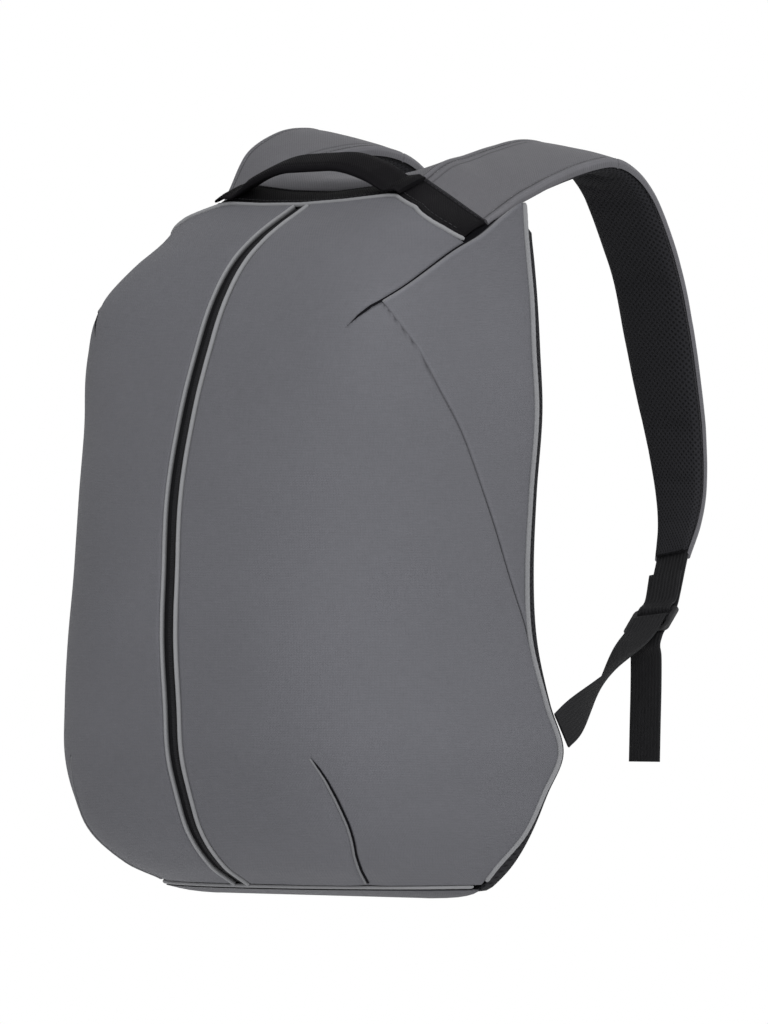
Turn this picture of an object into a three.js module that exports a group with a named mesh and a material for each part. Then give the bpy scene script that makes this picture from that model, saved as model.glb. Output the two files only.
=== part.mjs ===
// Backpack with a smooth curved shell and a zip hidden down its front centre, in the form it has when worn.
// Millimetres. +Z is up, -Y is the outer front, +Y is toward the wearer, +X is the wearer's right.
// The shapes are worked out with the base at z = 0, and the last lines move the origin to the wearer's back.

import * as THREE from 'three';

// Main sizes
const SHELL_HEIGHT = 431;
const HALF_WIDTH = 151;
const SHELL_DEPTH = 169;
const WEAR_HEIGHT = 330;

// Cloth and trim thicknesses
const SHELL_WALL = 4;
const WING_WALL = 3;
const BAND_WALL = 3;
const YOKE_WALL = 3;
const COVER_WALL = 3;
const PIPE_RADIUS = 1.7;
const CLEARANCE = 0.4;
const WEBBING_WIDTH = 25;
const WEBBING_THICK = 1.5;

// Centre zip strip
const STRIP_HALF = 4;
const STRIP_RECESS = 1.6;
const STRIP_WALL = 2;
const WELT_WIDTH = 3;
const WELT_PROUD = 0.7;

// Base slab and the cord in its seam
const BASE_THICK = 5.8;
const BASE_PIPE_RADIUS = 1.2;
const BASE_SEAM = (BASE_THICK + 2 * BASE_PIPE_RADIUS + 2 * CLEARANCE) / SHELL_HEIGHT;

// Handle
const HANDLE_HALF_SPAN = 78;
const HANDLE_TAB = 13;
const HANDLE_FLAT = 13;
const HANDLE_WIDTH = 27;
const HANDLE_THICK = 6;
const HANDLE_RISE = 17;
const HANDLE_LEAN = 22;

// Shoulder strap pad
const PAD_THICK = 8;
const STRAP_FORWARD = 197;

// Ladder lock
const LOCK_HALF_WIDTH = 16.5;
const LOCK_SLOT_HALF = 13.3;
const LOCK_THICK = 2.6;
const LOCK_BAR = 3;
const LOCK_TOP = -12;
const LOCK_BOTTOM = 11;
const TAIL_LENGTH = 80;
const LOCK_REACH = 54;
const ANCHOR_SHARE = 0.241;

// Shell sections: height / SHELL_HEIGHT, half width / HALF_WIDTH, front depth and back edge offset / SHELL_DEPTH,
// and how square the section is (2 is an ellipse)
const SECTIONS = {
  columns: ['height', 'half', 'depth', 'edge', 'square'],
  rows: [
    [0.0000, 0.757, 0.537, -0.110, 2.0],
    [0.0186, 0.810, 0.608, -0.098, 2.1],
    [0.0464, 0.867, 0.739, -0.072, 2.8],
    [0.0928, 0.934, 0.855, 0.012, 3.5],
    [0.1508, 0.971, 0.923, 0.082, 3.7],
    [0.2088, 1.000, 0.969, 0.143, 3.6],
    [0.2784, 0.984, 0.983, 0.082, 3.5],
    [0.3712, 0.965, 1.000, 0.012, 3.2],
    [0.4640, 0.960, 0.991, 0.000, 3.0],
    [0.5800, 0.969, 0.971, 0.012, 2.9],
    [0.6961, 0.977, 0.901, 0.036, 3.1],
    [0.7889, 0.942, 0.816, 0.056, 4.1],
    [0.8585, 0.899, 0.734, 0.090, 4.9],
    [0.9142, 0.855, 0.629, 0.117, 4.0],
    [0.9559, 0.810, 0.496, 0.150, 3.7],
    [1.0000, 0.768, 0.296, 0.183, 5.2],
    [1.0209, 0.745, 0.201, 0.195, 5.2],
  ],
};

// Rows of the front panel: height at the centre, then share of the half girth and height at the outer edge.
// The outer edge follows the back seam, then the side crease, then the diagonal seam up to the band.
const FRONT_ROWS = {
  columns: ['centre', 'around', 'outer'],
  rows: [
    [BASE_SEAM, 1.000, BASE_SEAM],
    [0.0348, 1.000, 0.0348],
    [0.0534, 1.000, 0.0534],
    [0.0789, 1.000, 0.0789],
    [0.1160, 1.000, 0.1160],
    [0.1670, 1.000, 0.1624],
    [0.2274, 1.000, 0.2135],
    [0.3016, 1.000, 0.2900],
    [0.3400, 1.000, 0.3350],
    [0.3782, 0.995, 0.3782],
    [0.4408, 0.957, 0.4408],
    [0.5151, 0.897, 0.5151],
    [0.5916, 0.826, 0.5916],
    [0.6613, 0.750, 0.6659],
    [0.7239, 0.680, 0.7239],
    [0.7842, 0.608, 0.7842],
    [0.8399, 0.544, 0.8237],
    [0.8910, 0.500, 0.8515],
    [0.9327, 0.548, 0.8701],
    [0.9698, 0.640, 0.9072],
    [1.0023, 0.712, 0.9350],
  ],
};
const FRONT_STEPS = 12;

// Rows of the side wing: height, then share of the half girth at its front edge
const WING_ROWS = {
  columns: ['height', 'around'],
  rows: [
    [0.4020, 0.985],
    [0.4408, 0.957],
    [0.5151, 0.897],
    [0.5916, 0.826],
    [0.6659, 0.750],
    [0.7239, 0.680],
    [0.7842, 0.608],
    [0.8237, 0.544],
    [0.8515, 0.500],
    [0.8701, 0.548],
    [0.9072, 0.640],
    [0.9310, 0.707],
    [0.9455, 0.790],
    [0.9680, 0.880],
    [0.9910, 0.965],
  ],
};
const WING_STEPS = 8;

// Top seam between the front panel and the band: across / HALF_WIDTH, height / SHELL_HEIGHT
const RIM = {
  columns: ['across', 'height'],
  rows: [
    [0.000, 1.0023],
    [0.240, 1.0050],
    [0.440, 1.0100],
    [0.490, 1.0090],
    [0.640, 0.9880],
    [0.812, 0.9420],
  ],
};

// Back edge of the black band, where the straps and the yoke begin: across, forward / HALF_WIDTH, height
const BAND_BACK = {
  columns: ['across', 'forward', 'height'],
  rows: [
    [0.000, -0.093, 1.0255],
    [0.240, -0.095, 1.0310],
    [0.420, -0.099, 1.0400],
    [0.470, -0.099, 1.0418],
    [0.791, -0.046, 0.9710],
  ],
};
const BAND_STEPS = 4;

// Shoulder strap edges on the right: inner and outer across / HALF_WIDTH, forward / STRAP_FORWARD,
// up / SHELL_HEIGHT, then pad fullness
const STRAP_ROWS = {
  columns: ['row', 'inAcross', 'inForward', 'inUp', 'outAcross', 'outForward', 'outUp', 'full',
    'leftLift',
  ],
  rows: [
    [0, 0.470, -0.074, 1.0418, 0.791, -0.034, 0.9710, 0.10, 0.000],
    [1, 0.464, 0.025, 1.0557, 0.788, 0.061, 0.9940, 0.28, 0.042],
    [2, 0.457, 0.127, 1.0673, 0.782, 0.142, 1.0120, 0.55, 0.084],
    [3, 0.437, 0.254, 1.0812, 0.775, 0.279, 1.0300, 0.90, 0.084],
    [4, 0.417, 0.386, 1.0928, 0.768, 0.406, 1.0450, 1.00, 0.070],
    [5, 0.407, 0.482, 1.0940, 0.765, 0.508, 1.0557, 1.00, 0.053],
    [6, 0.404, 0.584, 1.0882, 0.762, 0.609, 1.0626, 1.00, 0.035],
    [7, 0.402, 0.685, 1.0719, 0.762, 0.706, 1.0545, 1.00, 0.019],
    [8, 0.397, 0.787, 1.0371, 0.768, 0.797, 1.0255, 1.00, 0.007],
    [9, 0.397, 0.868, 0.9838, 0.781, 0.868, 0.9745, 1.00, 0.000],
    [10, 0.411, 0.934, 0.9142, 0.795, 0.924, 0.9072, 1.00, 0.000],
    [11, 0.430, 0.970, 0.8353, 0.811, 0.959, 0.8329, 1.00, 0.000],
    [12, 0.464, 0.990, 0.7564, 0.825, 0.982, 0.7564, 1.00, 0.000],
    [13, 0.523, 0.997, 0.6775, 0.841, 0.995, 0.6775, 1.00, 0.000],
    [14, 0.593, 0.975, 0.6032, 0.861, 0.980, 0.6009, 1.00, 0.000],
    [15, 0.669, 0.924, 0.5383, 0.881, 0.934, 0.5452, 0.90, 0.000],
    [16, 0.737, 0.845, 0.4826, 0.898, 0.862, 0.4933, 0.60, 0.000],
  ],
};
const STRAP_STEPS = 36;

// Yoke: place toward the wearer / HALF_WIDTH, then height at its middle / SHELL_HEIGHT
const YOKE_ROWS = {
  columns: ['back', 'height'],
  rows: [
    [-0.0905, 1.0262],
    [-0.04, 1.0395],
    [0.03, 1.0455],
    [0.1, 1.048],
    [0.18, 1.049],
    [0.28, 1.049],
  ],
};
const YOKE_STEPS = 8;

// Back panel: height, then face toward the wearer at its centre and at its side edge / SHELL_DEPTH
const BACK_ROWS = {
  columns: ['height', 'centre', 'edge'],
  rows: [
    [0.006, 0.020, -0.030],
    [0.046, 0.075, 0.035],
    [0.093, 0.098, 0.075],
    [0.151, 0.112, 0.130],
    [0.209, 0.118, 0.185],
    [0.278, 0.112, 0.130],
    [0.371, 0.100, 0.075],
    [0.464, 0.092, 0.062],
    [0.580, 0.092, 0.070],
    [0.696, 0.100, 0.095],
    [0.789, 0.122, 0.118],
    [0.859, 0.150, 0.148],
    [0.914, 0.178, 0.175],
    [0.956, 0.205, 0.205],
    [1.000, 0.240, 0.240],
    [1.034, 0.262, 0.262],
  ],
};
const BACK_THICK = 12;
const BACK_ARCH_SHARE = 0.8;
const BACK_TOP_DROP = 8;

// Fold of the short webbing round the lock's top bar, in mm from the lock's centre: along it and out of its face
const LOOP_FOLD = {
  columns: ['along', 'proud'],
  rows: [
    [-20, 0.6],
    [-11.5, 2.5],
    [-8.5, 2.6],
    [-7.4, 1.6],
    [-7.2, 0],
    [-7.4, -1.6],
    [-8.5, -2.6],
    [-11.5, -2.6],
    [-20, -1.9],
  ],
};

// Way of the long webbing behind the lock and round its middle bar, measured in the same way
const BAR_WRAP = {
  columns: ['along', 'proud'],
  rows: [
    [14, -2.7],
    [8, -2.6],
    [1, -2.7],
    [-1.2, -2.75],
    [-2.8, -1.8],
    [-3.1, 0],
    [-2.8, 1.8],
    [-1.2, 2.75],
    [1, 2.7],
    [8, 2.6],
  ],
};

// Free end of the webbing: mm toward the wearer from where it leaves the lock, then down / TAIL_LENGTH
const TAIL_FALL = {
  columns: ['back', 'down'],
  rows: [
    [-1.4, 0.0625],
    [-0.1, 0.15],
    [-0.2, 0.4],
    [-1.0, 0.675],
    [-1.8, 0.975],
  ],
};

// Lower webbing from the side seam to the ladder lock: share of the way, and turn in degrees from flat on the side
const WEBBING_TWIST = {
  columns: ['way', 'turn'],
  rows: [
    [0.00, 90],
    [0.12, 88],
    [0.35, 58],
    [0.60, 28],
    [0.85, 4],
  ],
};

// Heights at which the back seam, its cord and the back panel take their shape
const SEAM_HEIGHTS = [0.03, 0.05, 0.075, 0.105, 0.14, 0.17, 0.195, 0.209, 0.225, 0.25, 0.29, 0.335, 0.4, 0.47, 0.55,
  0.63, 0.7, 0.77, 0.83, 0.88, 0.93, 0.978];

const DEG = Math.PI / 180;

// Values of a row under the names of its columns
function named(table, values) {
  return Object.fromEntries(table.columns.map((column, k) => [column, values[k]]));
}

function lastRow(table) {
  return named(table, table.rows[table.rows.length - 1]);
}

// Row of a table at or just below a value of its first column
function rowBelow(table, value) {
  let i = 0;
  while (i < table.rows.length - 2 && value > table.rows[i + 1][0]) i += 1;
  return i;
}

// Smooth curve through the rows of a table, read at a value of its first column
function readTable(table, value) {
  const i = rowBelow(table, value);
  const a = table.rows[i];
  const b = table.rows[i + 1];
  const before = table.rows[Math.max(i - 1, 0)];
  const after = table.rows[Math.min(i + 2, table.rows.length - 1)];
  const span = b[0] - a[0];
  const t = (value - a[0]) / span;
  const t2 = t * t;
  const t3 = t2 * t;
  return named(table, a.map((from, k) => {
    const slopeA = (b[k] - before[k]) / (b[0] - before[0]) * span;
    const slopeB = (after[k] - from) / (after[0] - a[0]) * span;
    return (2 * t3 - 3 * t2 + 1) * from + (t3 - 2 * t2 + t) * slopeA
      + (3 * t2 - 2 * t3) * b[k] + (t3 - t2) * slopeB;
  }));
}

// Straight lines through the rows of a table
function readStraight(table, value) {
  const i = rowBelow(table, value);
  const from = table.rows[i];
  const to = table.rows[i + 1];
  const t = (value - from[0]) / (to[0] - from[0]);
  return named(table, from.map((start, k) => start + (to[k] - start) * t));
}

// One section of the shell, in millimetres
function sectionAt(z) {
  const row = readTable(SECTIONS, z / SHELL_HEIGHT);
  const edge = row.edge * SHELL_DEPTH;
  return { half: row.half * HALF_WIDTH, edge, deep: row.depth * SHELL_DEPTH + edge, square: row.square };
}

// Point of the shell at an angle from its right back edge
function shellAtAngle(angle, z) {
  const s = sectionAt(z);
  const c = Math.cos(angle);
  const d = Math.sin(angle);
  const reach = (Math.abs(c / s.half) ** s.square + Math.abs(d / s.deep) ** s.square) ** (-1 / s.square);
  return new THREE.Vector3(reach * c, s.edge - reach * d, z);
}

// Lengths round half a section, from the front centre to the back edge
const GIRTH_STEPS = 160;
const girths = new Map();
function girthAt(z) {
  const key = z.toFixed(4);
  if (!girths.has(key)) {
    const lengths = [0];
    let last = shellAtAngle(Math.PI / 2, z);
    for (let i = 1; i <= GIRTH_STEPS; i += 1) {
      const next = shellAtAngle(Math.PI / 2 * (1 - i / GIRTH_STEPS), z);
      lengths.push(lengths[i - 1] + next.distanceTo(last));
      last = next;
    }
    girths.set(key, lengths);
  }
  return girths.get(key);
}

// Angle of a share of the half girth
function angleAt(around, z) {
  const lengths = girthAt(z);
  const wanted = around * lengths[GIRTH_STEPS];
  let i = 0;
  while (i < GIRTH_STEPS - 1 && lengths[i + 1] < wanted) i += 1;
  const t = (wanted - lengths[i]) / (lengths[i + 1] - lengths[i]);
  return Math.PI / 2 * (1 - (i + t) / GIRTH_STEPS);
}

// Share of the half girth at which the shell is a given distance from its centre plane
function aroundAt(across, z) {
  let low = 0;
  let high = 1;
  for (let i = 0; i < 40; i += 1) {
    const middle = (low + high) / 2;
    if (shellAtAngle(angleAt(middle, z), z).x < across) low = middle;
    else high = middle;
  }
  return (low + high) / 2;
}

// Point of the shell and the direction that faces out of it
function shellAt(around, z, proud = 0) {
  const angle = angleAt(around, z);
  const point = shellAtAngle(angle, z);
  const along = shellAtAngle(angle - 0.002, z).sub(shellAtAngle(angle + 0.002, z));
  const up = shellAtAngle(angle, z + 0.3).sub(shellAtAngle(angle, z - 0.3));
  const out = along.cross(up).normalize();
  return { point: point.addScaledVector(out, proud), out };
}

// Closed solid through a row of loops that have the same even number of points
function loft(loops) {
  const count = loops[0].length;
  const faces = [];
  const quad = (a, b, c, d) => {
    if (a.distanceToSquared(c) <= b.distanceToSquared(d)) faces.push([a, b, c], [a, c, d]);
    else faces.push([a, b, d], [b, c, d]);
  };
  for (let k = 0; k + 1 < loops.length; k += 1) {
    for (let i = 0; i < count; i += 1) {
      const j = (i + 1) % count;
      quad(loops[k][i], loops[k][j], loops[k + 1][j], loops[k + 1][i]);
    }
  }
  const cap = (loop, flip) => {
    for (let i = 0; i + 1 < count / 2; i += 1) {
      const corners = [loop[i], loop[count - 1 - i], loop[count - 2 - i], loop[i + 1]];
      if (flip) corners.reverse();
      quad(...corners);
    }
  };
  cap(loops[0], false);
  cap(loops[loops.length - 1], true);
  let volume = 0;
  faces.forEach(([a, b, c]) => { volume += a.dot(b.clone().cross(c)); });
  if (volume < 0) faces.forEach((face) => face.reverse());
  const geometry = new THREE.BufferGeometry();
  geometry.setAttribute('position', new THREE.Float32BufferAttribute(faces.flat().flatMap((p) => p.toArray()), 3));
  geometry.computeVertexNormals();
  return geometry;
}

// Thick sheet from a grid of points and out directions
function sheet(grid, wall) {
  return loft(grid.map((row) => {
    const inner = row.map(({ point, out }) => point.clone().addScaledVector(out, -wall));
    return [...row.map(({ point }) => point), ...inner.reverse()];
  }));
}

// Round cord of cloth along a path
function piping(path, radius = PIPE_RADIUS, sides = 6) {
  return loft(path.map((point, i) => {
    const ahead = path[Math.min(i + 1, path.length - 1)];
    const behind = path[Math.max(i - 1, 0)];
    const along = ahead.clone().sub(behind).normalize();
    const side = new THREE.Vector3(0.35, 1, 0.2).cross(along).normalize();
    const other = along.clone().cross(side);
    return Array.from({ length: sides }, (unused, k) => {
      const turn = (k + 0.5) / sides * 2 * Math.PI;
      return point.clone().addScaledVector(side, radius * Math.cos(turn))
        .addScaledVector(other, radius * Math.sin(turn));
    });
  }));
}

// Flat webbing along a path, with its width direction at each point
function webbing(path, widths, width = WEBBING_WIDTH) {
  return loft(path.map((point, i) => {
    const ahead = path[Math.min(i + 1, path.length - 1)];
    const behind = path[Math.max(i - 1, 0)];
    const along = ahead.clone().sub(behind).normalize();
    const across = widths[i].clone().addScaledVector(along, -widths[i].dot(along)).normalize();
    const out = across.clone().cross(along);
    const corner = (a, b) => point.clone().addScaledVector(across, a * width / 2)
      .addScaledVector(out, b * WEBBING_THICK / 2);
    return [corner(-1, 1), corner(1, 1), corner(1, -1), corner(-1, -1)];
  }));
}

// The same piece for the other side
function mirrored(geometry) {
  const copy = geometry.clone();
  const at = copy.getAttribute('position');
  for (let i = 0; i < at.count; i += 3) {
    const corners = [0, 2, 1].map((k) => new THREE.Vector3().fromBufferAttribute(at, i + k));
    corners.forEach((p, k) => copy.getAttribute('position').setXYZ(i + k, -p.x, p.y, p.z));
  }
  copy.computeVertexNormals();
  return copy;
}

// Top seam as a point on the shell, at a distance from the centre plane
function rimAt(across, drop = 0) {
  const z = readStraight(RIM, across / HALF_WIDTH).height * SHELL_HEIGHT - drop;
  return { around: aroundAt(across, z), z };
}

const PANEL_INNER = STRIP_HALF + WELT_WIDTH + 2 * CLEARANCE;
const RIM_END = lastRow(RIM).across * HALF_WIDTH;

// Edge of the front panel below the top seam, clear of the piping in it
function underRim(across) {
  const rim = rimAt(across);
  const centre = shellAt(rim.around, rim.z).point;
  let drop = 0.8;
  let edge = rimAt(across, drop);
  while (shellAt(edge.around, edge.z).point.distanceTo(centre) < (PIPE_RADIUS + CLEARANCE) * 1.25 && drop < 6) {
    drop += 0.1;
    edge = rimAt(across, drop);
  }
  return edge;
}

// Share of the half girth taken by a length at a height
function shareOf(length, z) {
  return length / girthAt(z)[GIRTH_STEPS];
}

// One half of the curved front and side
function frontPanel() {
  const top = FRONT_ROWS.rows.length - 1;
  const grid = FRONT_ROWS.rows.map(([centre, around, outer], k) => {
    const innerZ = centre * SHELL_HEIGHT - (k === top ? CLEARANCE : 0);
    const outerZ = outer * SHELL_HEIGHT - (k === top ? 2 * CLEARANCE : 0);
    const inner = aroundAt(PANEL_INNER, innerZ);
    const seam = 1 - shareOf(PIPE_RADIUS + CLEARANCE, outerZ);
    const edge = Math.min(around - shareOf(CLEARANCE, outerZ), seam);
    const pull = (k / top) ** 9;
    return Array.from({ length: FRONT_STEPS + 1 }, (unused, i) => {
      const f = i / FRONT_STEPS;
      const rim = underRim(PANEL_INNER + (RIM_END - PANEL_INNER) * f);
      const u = inner + (edge - inner) * f;
      const z = innerZ + (outerZ - innerZ) * f;
      return shellAt(u + (rim.around - u) * pull * (f < 1 ? 1 : 0), z + (rim.z - z) * pull * (f < 1 ? 1 : 0));
    });
  });
  return sheet(grid, SHELL_WALL);
}

// Side piece between the crease, the diagonal seam and the back edge, rising beside the strap
function sideWing() {
  const grid = WING_ROWS.rows.map(([height, around]) => {
    const z = height * SHELL_HEIGHT;
    const from = around + shareOf(CLEARANCE, z);
    const to = 1 - shareOf(PIPE_RADIUS + CLEARANCE, z);
    return Array.from({ length: WING_STEPS + 1 }, (unused, i) => shellAt(from + (to - from) * i / WING_STEPS, z));
  });
  return sheet(grid, WING_WALL);
}

// Heights shared by the strip, its welts and the panels beside it
function centreHeights() {
  return FRONT_ROWS.rows.map(([centre], k) => {
    const last = k === FRONT_ROWS.rows.length - 1;
    return centre * SHELL_HEIGHT - (last ? PIPE_RADIUS + CLEARANCE : 0);
  });
}

// Upright sheet on the front centre between two distances from the centre plane
function centreSheet(from, to, proud, wall) {
  const grid = centreHeights().map((z) => [from, to].map((across) => {
    const side = across < 0 ? -1 : 1;
    const at = shellAt(aroundAt(Math.abs(across), z), z, proud);
    at.point.x = Math.abs(across) * side;
    at.out.x *= side;
    return at;
  }));
  return sheet(grid, wall);
}

function centreStrip() {
  return centreSheet(-STRIP_HALF, STRIP_HALF, -STRIP_RECESS, STRIP_WALL);
}

// Folded edge beside the zip, rounded by a proud middle line
function centreWelt() {
  const near = STRIP_HALF + CLEARANCE;
  const grid = centreHeights().map((z) => [0, 0.5, 1].map((f) => {
    const across = near + WELT_WIDTH * f;
    return shellAt(aroundAt(across, z), z, f === 0.5 ? WELT_PROUD : 0.1);
  }));
  return sheet(grid, SHELL_WALL);
}

// Cord in the seam between the side and the back panel
function sidePiping() {
  return piping(SEAM_HEIGHTS.map((share) => shellAt(1, share * SHELL_HEIGHT).point));
}

// Cord in the top seam, from ear to ear
function topPiping() {
  const path = [];
  const steps = 14;
  for (let i = -steps; i <= steps; i += 1) {
    const across = Math.abs(i) / steps * (RIM_END - 2);
    const rim = rimAt(across);
    const point = shellAt(rim.around, rim.z).point;
    point.x *= Math.sign(i);
    path.push(point);
  }
  return piping(path);
}

// Ring of points round a section, open at the back edge
function halfRing(z, inset, steps) {
  const ring = [];
  for (let i = -steps; i <= steps; i += 1) {
    const point = shellAt(Math.abs(i) / steps, z, -inset).point;
    point.x *= Math.sign(i);
    ring.push(point);
  }
  return ring;
}

// Height of the seam round the base
const BASE_CORD = BASE_THICK + BASE_PIPE_RADIUS + CLEARANCE;

function basePiping() {
  return piping(halfRing(BASE_CORD, 0, 15).slice(1, -1), BASE_PIPE_RADIUS);
}

// Padded slab under the bag
function basePanel() {
  const loop = (z, level) => {
    const ring = halfRing(level, 0.5, 15).map((point) => point.setZ(z));
    const back = sectionAt(z).edge + BACK_SEAM - CLEARANCE;
    const corner = (point) => new THREE.Vector3(point.x * 0.99, back, z);
    return [...ring, corner(ring[ring.length - 1]), new THREE.Vector3(0, back, z), corner(ring[0])];
  };
  return loft([loop(0, 0), loop(BASE_THICK, BASE_CORD)]);
}

// Height and place of the band between the top seam (0) and its back edge (1)
function bandAt(across, t) {
  const front = rimAt(across);
  const start = shellAt(front.around, front.z).point;
  const corner = RIM.rows[3][0] * HALF_WIDTH;
  const backCorner = BAND_BACK.rows[3][0] * HALF_WIDTH;
  const backEnd = lastRow(BAND_BACK).across * HALF_WIDTH;
  const over = (across - corner) / (RIM_END - corner);
  const back = across < corner ? across * backCorner / corner : backCorner + (backEnd - backCorner) * over;
  const row = readStraight(BAND_BACK, back / HALF_WIDTH);
  const end = new THREE.Vector3(back, row.forward * HALF_WIDTH, row.height * SHELL_HEIGHT);
  const point = start.clone().lerp(end, t);
  point.z += 1.2 * Math.sin(Math.PI * t);
  return point;
}

// Place on the band of either side, with the direction that faces out of it
function bandFrame(across, t) {
  const side = across < 0 ? -1 : 1;
  const x = Math.abs(across);
  const point = bandAt(x, t);
  const along = bandAt(x + 0.5, t).sub(bandAt(Math.max(x - 0.5, 0), t));
  const back = bandAt(x, Math.min(t + 0.02, 1)).sub(bandAt(x, t - 0.02));
  const out = along.cross(back).normalize();
  point.x *= side;
  out.x *= side;
  return { point, out };
}

function topBand() {
  const half = [0, 0.12, 0.24, 0.36, 0.46, 0.54, 0.585, 0.63, 0.72, 0.81, 0.9, 1];
  const shares = [...half.slice(1).reverse().map((f) => -f), ...half];
  const grid = shares.map((f) => {
    const across = f * (RIM_END - 2.5);
    const front = bandAt(Math.abs(across), 0);
    const depth = front.distanceTo(bandAt(Math.abs(across), 1));
    const start = (PIPE_RADIUS + 2 * CLEARANCE) / depth;
    const end = 1 - CLEARANCE / depth;
    return Array.from({ length: BAND_STEPS + 1 }, (unused, k) => (
      bandFrame(across, start + (end - start) * k / BAND_STEPS)));
  });
  return sheet(grid, BAND_WALL);
}

// Edges of a strap at a share of its length. Drape 0 is the right strap, and 1 the left one, seen in a mirror
function strapEdges(way, drape = 0) {
  const row = readTable(STRAP_ROWS, way * lastRow(STRAP_ROWS).row);
  const place = (across, forward, up) => (
    new THREE.Vector3(across * HALF_WIDTH, forward * STRAP_FORWARD, up * SHELL_HEIGHT));
  const inner = place(row.inAcross, row.inForward, row.inUp);
  const outer = place(row.outAcross, row.outForward, row.outUp + drape * row.leftLift);
  return { inner, outer, full: row.full };
}

// Place on the strap's outer face: way along it, and share across it from the inner edge
function strapAt(way, share, drape = 0) {
  const here = strapEdges(way, drape);
  const ahead = strapEdges(Math.min(way + 0.005, 1), drape);
  const behind = strapEdges(Math.max(way - 0.005, 0), drape);
  const along = ahead.inner.add(ahead.outer).sub(behind.inner).sub(behind.outer);
  const across = here.outer.clone().sub(here.inner);
  const out = across.clone().cross(along).normalize();
  const point = here.inner.clone().addScaledVector(across, share);
  point.addScaledVector(out, 2.2 * (1 - (2 * share - 1) ** 2) * here.full);
  return { point, out, full: here.full };
}

// Shares of the strap's length at which its pieces take their shape
function strapWays() {
  return Array.from({ length: STRAP_STEPS + 1 }, (unused, k) => k / STRAP_STEPS);
}

// Grey cloth on the outside of the strap
function strapCover(drape) {
  const grid = strapWays().map((way) => [0, 0.14, 0.5, 0.86, 1].map((share) => {
    const at = strapAt(way, share, drape);
    const edge = share === 0 || share === 1;
    return { point: at.point.addScaledVector(at.out, edge ? -0.8 : 0), out: at.out };
  }));
  return sheet(grid, COVER_WALL);
}

// Black pad on the inside of the strap
function strapPad(drape) {
  const shares = [0.03, 0.2, 0.5, 0.8, 0.97];
  return loft(strapWays().map((way) => {
    const within = Math.min(Math.max(way, 0.012), 0.997);
    const places = shares.map((share) => strapAt(within, share, drape));
    const top = places.map(({ point, out }, k) => {
      const edge = k === 0 || k === shares.length - 1;
      return point.clone().addScaledVector(out, -COVER_WALL - CLEARANCE - (edge ? 1.6 : 0.2));
    });
    const under = places.map(({ point, out, full }, k) => {
      const edge = k === 0 || k === shares.length - 1;
      const deep = edge ? 2 + 1.5 * full : 0.6 + PAD_THICK * full;
      return point.clone().addScaledVector(out, -COVER_WALL - CLEARANCE - deep);
    });
    return [...top, ...under.reverse()];
  }));
}

// Grey piece between the strap roots, behind the handle
function yoke() {
  const grid = YOKE_ROWS.rows.map(([back, height]) => {
    const y = back * HALF_WIDTH;
    let way = 0;
    while (strapEdges(way).inner.y < y && way < 0.3) way += 0.001;
    const edge = strapAt(way, 0);
    const side = edge.point.x - (COVER_WALL + 0.8) * edge.out.x - CLEARANCE - 0.3;
    return Array.from({ length: YOKE_STEPS + 1 }, (unused, i) => {
      const s = (2 * i) / YOKE_STEPS - 1;
      const low = height * SHELL_HEIGHT;
      const z = low + (edge.point.z - 0.8 - low) * Math.abs(s) ** 2.2;
      return { point: new THREE.Vector3(s * side, y + 0.3, z), out: new THREE.Vector3(0, 0, 1) };
    });
  });
  return sheet(grid, YOKE_WALL);
}

// Carry handle, arched over the middle of the band
function handle() {
  const lift = HANDLE_HALF_SPAN - HANDLE_TAB;
  const centreY = bandAt(0, 0.5).y;
  const lean = HANDLE_LEAN * DEG;
  const across = new THREE.Vector3(0, Math.cos(lean), Math.sin(lean));
  const out = new THREE.Vector3(0, -Math.sin(lean), Math.cos(lean));
  const bandHigh = (x) => {
    let best = -Infinity;
    [0.05, 0.3, 0.5, 0.7, 1].forEach((t) => {
      const p = bandAt(Math.min(Math.abs(x), RIM_END - 3), t);
      const s = (p.y - centreY) / Math.cos(lean);
      best = Math.max(best, p.z - s * Math.sin(lean));
    });
    return best;
  };
  const loops = [];
  const steps = 12;
  for (let i = -steps; i <= steps; i += 1) {
    const x = HANDLE_HALF_SPAN * i / steps;
    const off = Math.max(Math.abs(x), HANDLE_FLAT) - HANDLE_FLAT;
    const rise = Math.max(0, 1 - (off / (lift - HANDLE_FLAT)) ** 2) ** 1.2;
    const bottom = bandHigh(off + HANDLE_FLAT) + CLEARANCE + HANDLE_RISE * rise;
    const thick = HANDLE_THICK * (0.45 + 0.55 * Math.min(1, rise * 2.5));
    const spot = (a, b) => new THREE.Vector3(x, centreY, bottom)
      .addScaledVector(across, a * HANDLE_WIDTH / 2).addScaledVector(out, b * thick);
    loops.push([spot(-0.86, 1), spot(0.86, 1), spot(1, 0.5), spot(0.86, 0), spot(-0.86, 0), spot(-1, 0.5)]);
  }
  return loft(loops);
}

// Top edge of the back panel, under the straps and the yoke
function backTop(across) {
  const row = readStraight(BAND_BACK, Math.abs(across) / HALF_WIDTH);
  return Math.min(lastRow(BACK_ROWS).height * SHELL_HEIGHT, row.height * SHELL_HEIGHT - BACK_TOP_DROP);
}

// Clearance from the seam's middle line to the back panel
const BACK_SEAM = PIPE_RADIUS + 2 * CLEARANCE;

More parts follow.
